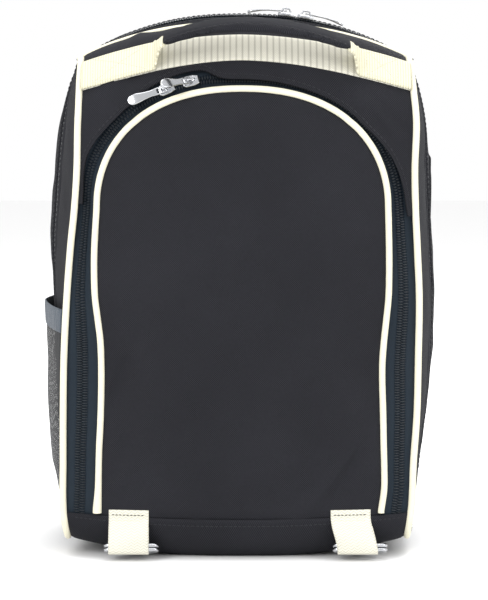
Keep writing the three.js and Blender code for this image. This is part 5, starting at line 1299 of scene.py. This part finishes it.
# %% Filling a sleeve with a cloth simulation
def fill_sleeve(obj, voxel, pressure, cap, frames=20):
    bpy.context.view_layer.objects.active = obj
    evened = obj.modifiers.new("even", "REMESH")
    evened.mode, evened.voxel_size = "VOXEL", voxel / 1000
    depsgraph = bpy.context.evaluated_depsgraph_get()
    mesh = bpy.data.meshes.new_from_object(obj.evaluated_get(depsgraph))
    obj.modifiers.clear()
    obj.data = mesh
    start = np.empty(len(mesh.vertices) * 3)
    mesh.vertices.foreach_get("co", start)
    sleeve = obj.modifiers.new("sleeve", "CLOTH")
    sleeve.settings.quality = 6
    sleeve.settings.use_pressure = True
    sleeve.settings.uniform_pressure_force = pressure
    sleeve.settings.effector_weights.gravity = 0
    sleeve.settings.tension_stiffness = sleeve.settings.compression_stiffness = 18
    sleeve.settings.bending_stiffness = 0.4
    sleeve.point_cache.frame_start, sleeve.point_cache.frame_end = 1, frames
    scene = bpy.context.scene
    for frame_number in range(1, frames + 1):
        scene.frame_set(frame_number)
    depsgraph = bpy.context.evaluated_depsgraph_get()
    filled = bpy.data.meshes.new_from_object(obj.evaluated_get(depsgraph))
    obj.modifiers.clear()
    end = np.empty(len(filled.vertices) * 3)
    filled.vertices.foreach_get("co", end)
    move = (end - start).reshape(-1, 3)
    far = np.linalg.norm(move, axis=1, keepdims=True)
    move *= np.minimum(1, cap / 1000 / np.maximum(far, 1e-9))
    filled.vertices.foreach_set("co", (start.reshape(-1, 3) + move).ravel())
    filled.update()
    obj.data = filled
    scene.frame_set(1)
    return move


def vertices_of(mesh):
    corners = np.empty(len(mesh.vertices) * 3)
    mesh.vertices.foreach_get("co", corners)
    return corners.reshape(-1, 3) * 1000


def lay_cut(mesh, u, v):
    """Gives each vertex its place on the flat cut, in millimetres."""
    index = np.empty(len(mesh.loops), int)
    mesh.loops.foreach_get("vertex_index", index)
    (mesh.uv_layers.get("cut") or mesh.uv_layers.new(name="cut")).data.foreach_set(
        "uv", (np.stack([u, v], -1)[index] / 1000).ravel())


def sleeve_mesh(name, path, flat, out, half, thick, power=0.6, sides=28):
    """A closed sleeve round a path, wide along flat and thick along out."""
    rows = len(path) - 1

    def place(u, v):
        i = np.rint(v * rows).astype(int)
        turn = (u % 1) * 2 * math.pi
        a, b = [np.sign(w) * np.abs(w) ** power for w in (np.cos(turn), np.sin(turn))]
        return path[i] + flat[i] * (a * half[i])[:, None] + out[i] * (b * thick[i])[:, None]

    mesh = grid_mesh(name, sides, rows)
    lay(mesh, place)
    return add_object(name, weld(mesh))


def onto_path(points, path, flat, out):
    """For each point: the nearest step of the path, the length up to it, the distances along flat and out."""
    near = np.concatenate([np.linalg.norm(points[i:i + 2000, None] - path[None], axis=2).argmin(1)
                           for i in range(0, len(points), 2000)])
    aside = points - path[near]
    return near, run_of(path)[near], np.sum(aside * flat[near], 1), np.sum(aside * out[near], 1)


# %% The grip
grip_x = np.linspace(GRIP_LEFT + 0.6, GRIP_RIGHT - 0.6, 90)
grip_path = handle_point(grip_x, grip_float(grip_x), 0 * grip_x)
grip_flat = unit(handle_point(grip_x, grip_float(grip_x), 0 * grip_x + 5) - grip_path)
grip_out = unit(handle_point(grip_x, grip_float(grip_x) + 5, 0 * grip_x) - grip_path)
from_end = np.minimum(grip_x - grip_x[0], grip_x[-1] - grip_x)
right_end = np.exp(-((grip_x[-1] - grip_x) / 6) ** 2)
grip_half = (GRIP_WIDE / 2 - 0.9) * (1 - 0.10 * np.exp(-from_end / 2.0) - 0.10 * right_end)
grip_thick = (GRIP_THICK / 2 - 0.8) * (1 - 0.25 * np.exp(-from_end / 1.8))
grip = sleeve_mesh("grip", grip_path, grip_flat, grip_out, grip_half, grip_thick)
fill_sleeve(grip, 3.2, 3.0, 1.6)
points = vertices_of(grip.data)
near, run, across, up = onto_path(points, grip_path, grip_flat, grip_out)
lay_cut(grip.data, run, across + np.sign(up) * 40)
SEAM_ACROSS = -7.4
beside = across - SEAM_ACROSS
dip = 0.75 * np.exp(-(beside / 1.5) ** 2) * (up > 0) + 0.35 * np.exp(-((across + 11.0) / 1.0) ** 2)
wrinkle = 0.30 * rumple(run, across * 0.4, 11, 6.1) * np.exp(-(beside / 6) ** 2)
wrinkle = wrinkle + 0.25 * rumple(run, across, 23, 6.6)
points += grip_out[near] * ((wrinkle - dip) * np.sign(up))[:, None]
grip.data.vertices.foreach_set("co", (points / 1000).ravel())
smooth(grip)
rounder = grip.modifiers.new("rounder", "SUBSURF")
rounder.levels = rounder.render_levels = 1
fit(grip, CHARCOAL, "cloth", "handle_grip")


def grip_top(u, v):
    """The upper face of the grip, for its seam."""
    i = np.clip(u, 0, 1) * (len(grip_x) - 1)
    path, flat, out = [along_path(i, range(len(grip_x)), rows) for rows in (grip_path, grip_flat, grip_out)]
    return path + flat * (v * GRIP_WIDE)[:, None] + out * (GRIP_THICK / 2 - 0.65)


u = np.linspace(0.02, 0.98, 60)
stitches("grip_stitches", grip_top, np.stack([u, np.full_like(u, SEAM_ACROSS / GRIP_WIDE)], 1),
         DARK_THREAD, "cloth", 2.8, 3.9, 0.8)
print("grip:", len(grip.data.vertices), "vertices")

# %% Shoulder straps: across, height, out, width, thick, all shares, from the seam down to the buckle
STRAPS = {"right": np.array([
    (0.400, 0.965, 0.050, 0.95, 0.70), (0.450, 1.000, 0.130, 1.00, 0.95), (0.580, 0.985, 0.215, 1.02, 1.00),
    (0.725, 0.925, 0.275, 1.03, 1.00), (0.835, 0.835, 0.300, 1.03, 1.00), (0.874, 0.740, 0.305, 1.02, 1.00),
    (0.882, 0.640, 0.300, 1.00, 1.00), (0.876, 0.545, 0.285, 1.00, 1.00), (0.868, 0.480, 0.260, 0.93, 0.95),
    (0.858, 0.443, 0.243, 0.64, 0.80), (0.850, 0.412, 0.230, 0.48, 0.60)]), "left": np.array([
    (0.400, 0.965, 0.050, 0.95, 0.70), (0.440, 1.000, 0.130, 1.00, 0.95), (0.540, 0.980, 0.215, 1.02, 1.00),
    (0.650, 0.915, 0.275, 1.03, 1.00), (0.735, 0.820, 0.300, 1.03, 1.00), (0.790, 0.720, 0.305, 1.02, 1.00),
    (0.832, 0.620, 0.300, 1.00, 1.00), (0.855, 0.525, 0.285, 1.00, 1.00), (0.862, 0.460, 0.260, 0.93, 0.95),
    (0.860, 0.423, 0.243, 0.64, 0.80), (0.856, 0.392, 0.230, 0.48, 0.60)])}
STRAP_WIDE, STRAP_THICK = 60.0, 12.0
strap_ends = {}


def strap_frames(path):
    ahead = unit(np.gradient(path, axis=0))
    flat = unit(np.array([[1.0, 0, 0]]) - ahead * ahead[:, :1])
    return ahead, flat, unit(np.cross(ahead, flat))


for name, side in (("left", -1), ("right", 1)):
    rows = STRAPS[name]
    centres = np.stack([side * rows[:, 0] * BELLY_HALF_WIDTH, BACK_Y + rows[:, 2] * BODY_DEPTH,
                        rows[:, 1] * CORNER_HEIGHT], 1)
    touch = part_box(f"shoulder_strap_{name}")[0][1] * 1000
    for _ in range(4):
        path = smooth_path(centres, 12)
        ahead, flat, out = strap_frames(path)
        reach = abs(out[0, 1]) * STRAP_THICK / 2 * rows[0, 4] * 1.06 + abs(flat[0, 1]) * STRAP_WIDE / 2
        centres[0, 1] += touch - (path[0, 1] - reach)
    share = np.linspace(0, len(rows) - 1, len(path))
    wide = read(np.arange(len(rows)), rows[:, 3], share) * STRAP_WIDE / 2
    thick = read(np.arange(len(rows)), rows[:, 4], share) * STRAP_THICK / 2
    from_end = np.minimum(run_of(path), run_of(path)[-1] - run_of(path))
    strap = sleeve_mesh(f"shoulder_pad_{name}", path, flat, out, wide - 1.6,
                        (thick - 1.6) * (1 - 0.3 * np.exp(-from_end / 4)))
    fill_sleeve(strap, 4.2, 3.5, 2.6)
    points = vertices_of(strap.data)
    near, run, across, up = onto_path(points, path, flat, out)
    lay_cut(strap.data, run, across + np.sign(up) * 60)
    edge = wide[near] - np.abs(across)
    dip = 1.5 * np.exp(-((edge - 5.0) / 1.8) ** 2)
    for line in (0.30, 0.52, 0.74):
        dip = dip + 1.1 * np.exp(-((run - line * run_of(path)[-1]) / 2.4) ** 2) * (edge > 5)
    gathers = 0.25 * rumple(run, across * 0.3, 12, side + 5) * np.exp(-((edge - 5) / 5) ** 2)
    soft = 0.4 * rumple(run, across, 34, side + 4) + gathers
    points += out[near] * ((soft - dip) * np.sign(up))[:, None]
    strap.data.vertices.foreach_set("co", (points / 1000).ravel())
    smooth(strap)
    rounder = strap.modifiers.new("rounder", "SUBSURF")
    rounder.levels = rounder.render_levels = 1
    fit(strap, CHARCOAL, "cloth", f"shoulder_strap_{name}")
    strap_ends[name] = (path[-1], flat[-1], ahead[-1])
    print(strap.name, "runs", round(run_of(path)[-1]), "mm")

# %% [markdown]
# ## The lower ends of the straps
# Hidden behind the bag, but made with care: a moulded ladder-lock buckle, dark webbing that runs through
# it, and a folded triangle of cloth that is sewn into the back.


# %% Hard pieces taken from their solids, with softened edges
def softened(name, node_name, edge, finish, slot, body="bag", steps=2, limit=25):
    """A merged copy of a solid, with its sharp edges rounded."""
    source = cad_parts[node_name]
    bm = bmesh.new()
    bm.from_mesh(source.data)
    bmesh.ops.transform(bm, matrix=source.matrix_world, verts=bm.verts)
    bmesh.ops.remove_doubles(bm, verts=bm.verts, dist=1e-6)
    bmesh.ops.dissolve_limit(bm, angle_limit=math.radians(1.5), verts=bm.verts, edges=bm.edges)
    sharp = [e for e in bm.edges if len(e.link_faces) == 2 and e.calc_face_angle(0) > math.radians(limit)]
    bmesh.ops.bevel(bm, geom=sharp, offset=edge / 1000, offset_type="OFFSET", segments=steps, profile=0.5,
                    affect="EDGES", clamp_overlap=True, material=-1)
    mesh = bpy.data.meshes.new(name)
    bm.to_mesh(mesh)
    bm.free()
    made = smooth(add_object(name, mesh), 40)
    points = vertices_of(mesh)
    lay_cut(mesh, points[:, 0] + points[:, 1] * 0.4, points[:, 2] + points[:, 1] * 0.4)
    return fit(made, finish, slot, node_name, body=body)


for name in ("left", "right"):
    softened(f"buckle_{name}", f"strap_buckle_{name}", 0.7, BLACK_PLASTIC, "buckle")
    softened(f"lower_webbing_{name}", f"strap_webbing_{name}", 0.25, DARK_WEBBING, "strap_webbing")
    softened(f"anchor_{name}", f"strap_anchor_{name}", 0.5, CHARCOAL, "cloth")

# %% [markdown]
# ## Tabs and rings
# A short webbing is folded round two rings and sewn over the band's seam. The rings are bent wire,
# polished, and lie behind the fold.

# %% Tabs
TAB_WIDE, TAB_TOP, TAB_DEPTH, TAB_BOTTOM, TAB_STAND_OFF = 29.0, 36.5, 4.1, 5.4, 100.6
RING_WIRE, RING_INSIDE, RING_REACH = 2.8, 34.0, 17.0
LOW_BAR = TAB_BOTTOM + WEBBING_THICK + GAP + RING_WIRE / 2
BAR_Y = -TAB_STAND_OFF + WEBBING_THICK + TAB_DEPTH / 2


def tab_line(middle):
    def against(height, lift):
        point = front(np.array([middle]), length_at(np.array([middle]), np.array([height])), lift)[0]
        return point[1], point[2]

    top, seam = against(TAB_TOP, GAP + WEBBING_THICK), against(BAND_HEIGHT - 3, GAP + WEBBING_THICK)
    back_top = against(BAND_HEIGHT - 6, GAP)
    fold = TAB_DEPTH / 2 + WEBBING_THICK
    turns = np.linspace(0, math.pi, 7)[1:-1]
    return np.array([
        top, (mix(top[0], seam[0], 0.5), mix(top[1], seam[1], 0.5)), seam,
        (mix(seam[0], -TAB_STAND_OFF, 0.75), mix(seam[1], LOW_BAR, 0.4)),
        (-TAB_STAND_OFF, LOW_BAR + RING_WIRE * 2 + GAP), (-TAB_STAND_OFF, LOW_BAR),
        *[(BAR_Y - fold * math.cos(a), LOW_BAR - fold * math.sin(a)) for a in turns],
        (BAR_Y + fold, LOW_BAR), (BAR_Y + fold, LOW_BAR + RING_WIRE + GAP + 1),
        (back_top[0] - 0.4, back_top[1] - 3)])


def tab_lean(z, lean):
    return lean * ease(TAB_TOP - z, 4, TAB_TOP - TAB_BOTTOM)


tab_places = {}
for name, middle, lean in (("left", -81.0, 0.0), ("right", 79.2, 5.0)):
    line = smooth_path(tab_line(middle), 8)
    line_run = run_of(line)

    def tab_place(u, v, middle=middle, lean=lean, line=line, line_run=line_run):
        at = np.clip(v, 0, 1) * line_run[-1]
        y, z = [np.interp(at, line_run, line[:, i]) for i in (0, 1)]
        x = middle + tab_lean(z, lean) + (u - 0.5) * TAB_WIDE
        fixed = np.full_like(x, middle)
        swell = (front_skin(x, length_at(x, z))[:, 1] - front_skin(fixed, length_at(fixed, z))[:, 1])
        swell = swell * ease(z, TAB_BOTTOM + TAB_DEPTH, BAND_HEIGHT - 8)
        side_edge = np.minimum(u, 1 - u) * TAB_WIDE
        soft = 0.35 * np.exp(-side_edge / 0.9) + 0.12 * rumple(x, z, 17, middle)
        return np.stack([x, y + swell + np.where(v < 0.5, soft, 0), z], -1)

    tab_places[name] = tab_place
    tab = cloth(f"tab_webbing_{name}", 18, 80, tab_place, 
                lambda u, v, run=line_run: (v * run[-1], (u - 0.5) * TAB_WIDE),
                WEBBING_THICK, core=(middle, BAR_Y + 2, 18))
    fit(tab, TAB_WEBBING, "webbing", f"tab_{name}")
    top_row = 3.6 / line_run[-1]
    stitches(f"tab_stitches_{name}", tab_place, [(0.06, top_row), (0.94, top_row)],
             DARK_THREAD, "webbing", 2.0, 2.7, 0.7)
    stitches(f"tab_stitches_{name}_b", tab_place, [(0.06, top_row * 2.1), (0.94, top_row * 2.1)],
             CREAM_THREAD, "webbing", 2.0, 2.7, 0.6)

    half = (RING_INSIDE + RING_WIRE) / 2
    ring_x = middle + tab_lean(LOW_BAR, lean) + (RING_INSIDE - TAB_WIDE) / 2 - 0.6
    shape = np.array([(-1, 0.14), (-0.93, 0.02), (-0.8, 0), (0, 0), (0.8, 0), (0.93, 0.02), (1, 0.14),
                      (0.97, 0.42),
                      (0.78, 0.75), (0.42, 0.95), (0, 1), (-0.42, 0.95), (-0.78, 0.75), (-0.97, 0.42)])
    for place, height, fall in (("lower", LOW_BAR, 4.9), ("upper", LOW_BAR + RING_WIRE + GAP, 5.0)):
        reach = shape[:, 1] * (RING_REACH - RING_WIRE)
        ring = np.stack([ring_x + shape[:, 0] * half, BAR_Y + reach, height - shape[:, 1] * fall], 1)
        count = len(ring)
        path = smooth_path(np.concatenate([ring[-3:], ring, ring[:4]]), 8)[24:24 + count * 8]
        wire = tube(f"ring_wire_{name}_{place}", path, RING_WIRE / 2, path - path.mean(0), 14, closed=True)
        fit(wire, NICKEL, "metal", f"ring_{name}_{place}")
print("tabs and rings made")

# %% [markdown]
# ## The side pocket
# A fine net, stretched over the side and gathered by an elastic binding. The net is one sheet whose
# holes are cut by the material's alpha, because real holes would be far too many.


# %% Net finish
def net_group():
    tree, given, out = new_group("net", [("Vector", "Cut", None), ("Float", "Pitch", 0.0021)],
                                 [("Float", "Thread"), ("Float", "Knot")])
    apart = node(tree, "ShaderNodeSeparateXYZ")
    tree.links.new(given["Cut"], apart.inputs[0])
    rate = sums(tree, "DIVIDE", 2 * math.pi, given["Pitch"])
    a = sums(tree, "MULTIPLY", sums(tree, "ADD", apart.outputs[0], apart.outputs[1]), rate)
    b = sums(tree, "MULTIPLY", sums(tree, "SUBTRACT", apart.outputs[0], apart.outputs[1]), rate)
    ca, cb = sums(tree, "COSINE", a), sums(tree, "COSINE", b)
    both = sums(tree, "MAXIMUM", ca, cb)
    tree.links.new(sums(tree, "GREATER_THAN", both, -0.25), out["Thread"])
    crossing = sums(tree, "MULTIPLY", sums(tree, "GREATER_THAN", ca, 0.6), sums(tree, "GREATER_THAN", cb, 0.6))
    tree.links.new(crossing, out["Knot"])
    return tree


NET = bpy.data.materials.new("pocket net")
NET.use_nodes = True
net_tree = NET.node_tree
net_shader = net_tree.nodes["Principled BSDF"]
net_shader.inputs["Roughness"].default_value = 0.7
net_cut = node(net_tree, "ShaderNodeUVMap", uv_map="cut")
net = node(net_tree, "ShaderNodeGroup", node_tree=net_group())
net_tree.links.new(net_cut.outputs[0], net.inputs["Cut"])
net_tree.links.new(net.outputs["Thread"], net_shader.inputs["Alpha"])
knot_tone = node(net_tree, "ShaderNodeMix", data_type="RGBA")
knot_tone.inputs[6].default_value = (0.007, 0.0075, 0.009, 1)
knot_tone.inputs[7].default_value = (0.05, 0.052, 0.058, 1)
net_tree.links.new(net.outputs["Knot"], knot_tone.inputs["Factor"])
net_tree.links.new(knot_tone.outputs[2], net_shader.inputs["Base Color"])

# %% The net and its binding
POCKET_BOTTOM, POCKET_TOP, POCKET_FRONT, POCKET_BACK, BINDING_HIGH = 38.0, 163.0, -78.0, 74.0, 17.5


def pocket_clear(y, z):
    across = np.clip((y - POCKET_FRONT) / (POCKET_BACK - POCKET_FRONT), 0, 1)
    up = np.clip((z - POCKET_BOTTOM) / (POCKET_TOP - POCKET_BOTTOM), 0, 1)
    belly = 5.6 + 2.0 * np.sin(math.pi * np.clip(up * 1.25, 0, 1))
    return GAP + belly * np.sin(math.pi * across) ** 0.5 * np.minimum(1, up * 5) ** 0.7


def net_cut_at(u, v):
    return mix(POCKET_FRONT, POCKET_BACK, u), mix(POCKET_BOTTOM, POCKET_TOP + 1.5, v)


def net_place(u, v):
    y, z = net_cut_at(u, v)
    gather = 0.35 * rumple(y, 0, 9, 1.2) * v**3 * np.minimum(1, np.minimum(u, 1 - u) * 12)
    slack = 0.3 * rumple(y, z, 40, 2.2) * np.minimum(1, np.minimum(u, 1 - u) * 8)
    return sides[-1](y, z, pocket_clear(y, z) + 0.9 + gather + slack)


def binding_cut_at(u, v):
    return mix(POCKET_FRONT, POCKET_BACK, u) * 1.1, mix(0, BINDING_HIGH * 2, v)


def binding_place(u, v):
    """Round from the outside over the top edge and down the inside."""
    y = mix(POCKET_FRONT, POCKET_BACK, u)
    turn = v * 2 * math.pi
    up = np.cos(turn + math.pi) * 0.5 + 0.5
    high = POCKET_TOP + GAP + up * (BINDING_HIGH - GAP)
    round_off = np.abs(np.sin(turn)) ** 0.4 * np.sign(np.sin(turn))
    gather = 0.30 * rumple(y, up * 3, 5.2, 1.7) + 0.18 * rumple(y, up * 6, 2.9, 2.7)
    lift = pocket_clear(y, high) + 0.95 + round_off * (0.8 + gather * 0.6) + gather * 0.4
    return sides[-1](y, high, lift)


pocket = cloth("pocket_net", 110, 90, net_place, net_cut_at, 0)
fit(pocket, NET, "mesh", "mesh_pocket")
binding_mesh = grid_mesh("pocket_binding", 150, 24)
lay(binding_mesh, binding_place, binding_cut_at)
binding = smooth(add_object("pocket_binding", weld(binding_mesh)), 60)
fit(binding, BINDING, "binding", "mesh_binding")
print("pocket net and binding made")

# %% [markdown]
# ## Sliders and pulls
# A slider is cast: a body like an arrow head, and a bridge that holds the pull. The pull is pressed
# plate with a window at one end and a swollen tip at the other.

# %% A frame on the cloth for each slider
BAR_HEIGHT, PULL_BAR, PULL_WINDOW, PULL_LONG, PULL_WIDE = 2.6 + 0.5 + 0.65, 1.3, 6.2, 29.0, 7.6


def slider_frame(origin, ahead, out):
    x = unit(ahead)
    z = unit(out - x * np.sum(out * x, 1, keepdims=True))
    return origin[0], x[0], np.cross(z, x)[0], z[0]


slider_frames = {}
for number, along, tilt, aside in ((1, 0.4516, 42.0, 16.0), (2, 0.4288, 6.0, 0.0)):
    place = np.array([along])
    middle, deep = zip_at(1, place), -(zip_at(4, place) - GAP)
    ahead = on_arch(place + 0.004, middle, deep) - on_arch(place - 0.004, middle, deep)
    out = on_arch(place, middle, 1.0) - on_arch(place, middle, 0.0)
    axes = slider_frame(on_arch(place, middle, deep), ahead, out)
    slider_frames[f"front_slider_{number}"] = (*axes, tilt, aside, -1)
for number, station, direction in ((1, 0.30, -1), (2, 0.43, 1)):
    k, y = np.array([station]), np.array([ZIP_Y])
    ahead = rear_skin(k + 0.01, y) - rear_skin(k - 0.01, y)
    out = rear(k, y, 1.0) - rear(k, y, 0.0)
    slider_frames[f"main_slider_{number}"] = (*slider_frame(rear(k, y, GAP), ahead, out), -3.0, 0.0, direction)


def pull_mesh(name):
    """The pull in its own frame: its bar on y, its plate towards -x."""
    columns, rows = 6, 34
    mesh = grid_mesh(name, columns, rows)

    def place(u, v):
        x = np.interp(v * rows, [0, 2, 9, 12, rows],
                      [PULL_BAR / 2, -PULL_BAR / 2, -PULL_BAR / 2 - PULL_WINDOW, -9.0, -PULL_LONG])
        neck = PULL_WIDE * 0.36
        t = np.clip((-x - 9) / (PULL_LONG - 9), 0, 1)
        half = np.interp(-x, [-1, 7.5, 9.5, 12, 17, 22, 26],
                         [neck, neck, neck * 0.9, neck * 0.86, neck * 1.05, PULL_WIDE / 2, PULL_WIDE / 2])
        tip = np.clip((-x - (PULL_LONG - 3.8)) / 3.8, 0, 1)
        half = half * np.sqrt(np.clip(1 - tip**2, 0.02, 1))
        return np.stack([x, (2 * u - 1) * half, 0.55 * np.sin(math.pi * t)], -1)

    lay(mesh, place)
    bm = bmesh.new()
    bm.from_mesh(mesh)
    low, high = -PULL_BAR / 2 - PULL_WINDOW, -PULL_BAR / 2
    window = [f for f in bm.faces if low < f.calc_center_median().x * 1000 < high
              and abs(f.calc_center_median().y * 1000) < PULL_WIDE * 0.36 * 0.66]
    bmesh.ops.delete(bm, geom=window, context="FACES")
    bmesh.ops.translate(bm, verts=bm.verts, vec=(0, 0, 0.0005))
    bmesh.ops.solidify(bm, geom=bm.faces[:], thickness=0.001)
    bmesh.ops.recalc_face_normals(bm, faces=bm.faces)
    for vertex in bm.verts:
        t = min(1.0, max(0.0, (-vertex.co.x * 1000 - 13) / 12))
        vertex.co.z += vertex.co.z * 0.9 * (t * t * (3 - 2 * t))
    bm.to_mesh(mesh)
    bm.free()
    return mesh


for name, (origin, x, y, z, tilt, aside, direction) in slider_frames.items():
    softened(f"{name}_cast", name, 0.3, NICKEL, "metal", limit=30)
    turned = Matrix.Rotation((0 if direction < 0 else math.pi) + math.radians(aside), 4, "Z")
    local = Matrix.Translation((0, 0, BAR_HEIGHT / 1000)) @ Matrix.Rotation(math.radians(tilt), 4, "Y")
    basis = Matrix([(x[i], y[i], z[i], origin[i] / 1000) for i in range(3)] + [(0, 0, 0, 1)])
    mesh = pull_mesh(f"{name}_plate")
    if name.startswith("main"):
        for vertex in mesh.vertices:
            vertex.co.z -= 0.0020 * float(ease(-vertex.co.x * 1000, 9, PULL_LONG))
    mesh.transform(basis @ turned @ local)
    pull = smooth(add_object(f"{name}_plate", mesh), 50)
    rounder = pull.modifiers.new("rounder", "SUBSURF")
    rounder.levels = rounder.render_levels = 2
    fit(pull, NICKEL, "metal", f"{name}_pull", body=name.replace("slider", "pull"))
print("sliders:", len(slider_frames))

# %% [markdown]
# ## Camera, light and floor
# The photograph is taken from the front, a little above the middle, with a long lens.

# %% Camera, lights and floor
camera_data = bpy.data.cameras.new("camera")
camera_data.sensor_fit, camera_data.sensor_width, camera_data.lens = "HORIZONTAL", 36.0, 2222 / 488 * 36
camera = bpy.data.objects.new("camera", camera_data)
bpy.context.scene.collection.objects.link(camera)
TILT = math.radians(5)
camera.location = (0.0022, FRONT_Y / 1000 - 1.6 * math.cos(TILT), 0.1879 + 1.6 * math.sin(TILT))
camera.rotation_euler = (math.pi / 2 - TILT, 0, 0)
bpy.context.scene.camera = camera


def softbox(name, place, aim, size, power, tint=(1, 1, 1)):
    data = bpy.data.lights.new(name, "AREA")
    data.shape, data.size, data.energy, data.color = "SQUARE", size, power, tint
    lamp = bpy.data.objects.new(name, data)
    bpy.context.scene.collection.objects.link(lamp)
    lamp.location = place
    lamp.rotation_euler = (Vector(aim) - Vector(place)).to_track_quat("-Z", "Y").to_euler()


softbox("softbox_left", (-1.5, -1.9, 1.5), (0, 0, 0.2), 1.3, 34)
softbox("softbox_right", (1.7, -1.5, 1.1), (0, 0, 0.2), 1.2, 18)
softbox("softbox_top", (0.1, -0.2, 2.2), (0, 0, 0.2), 1.5, 26)
softbox("softbox_back", (0.6, 1.9, 1.3), (0, 0, 0.2), 1.4, 24)

world = bpy.data.worlds.new("studio")
world.use_nodes = True
world.node_tree.nodes["Background"].inputs[0].default_value = (1, 1, 1, 1)
world.node_tree.nodes["Background"].inputs[1].default_value = 1.0
bpy.context.scene.world = world
bpy.context.scene.view_settings.view_transform = "Standard"

bm = bmesh.new()
bmesh.ops.create_grid(bm, x_segments=1, y_segments=1, size=6)
floor_mesh = bpy.data.meshes.new("floor")
bm.to_mesh(floor_mesh)
bm.free()
floor = add_object("floor", floor_mesh)
paper = bpy.data.materials.new("pale paper")
paper.use_nodes = True
paper.node_tree.nodes["Principled BSDF"].inputs["Base Color"].default_value = (0.93, 0.93, 0.93, 1)
paper.node_tree.nodes["Principled BSDF"].inputs["Roughness"].default_value = 0.9
floor_mesh.materials.append(paper)
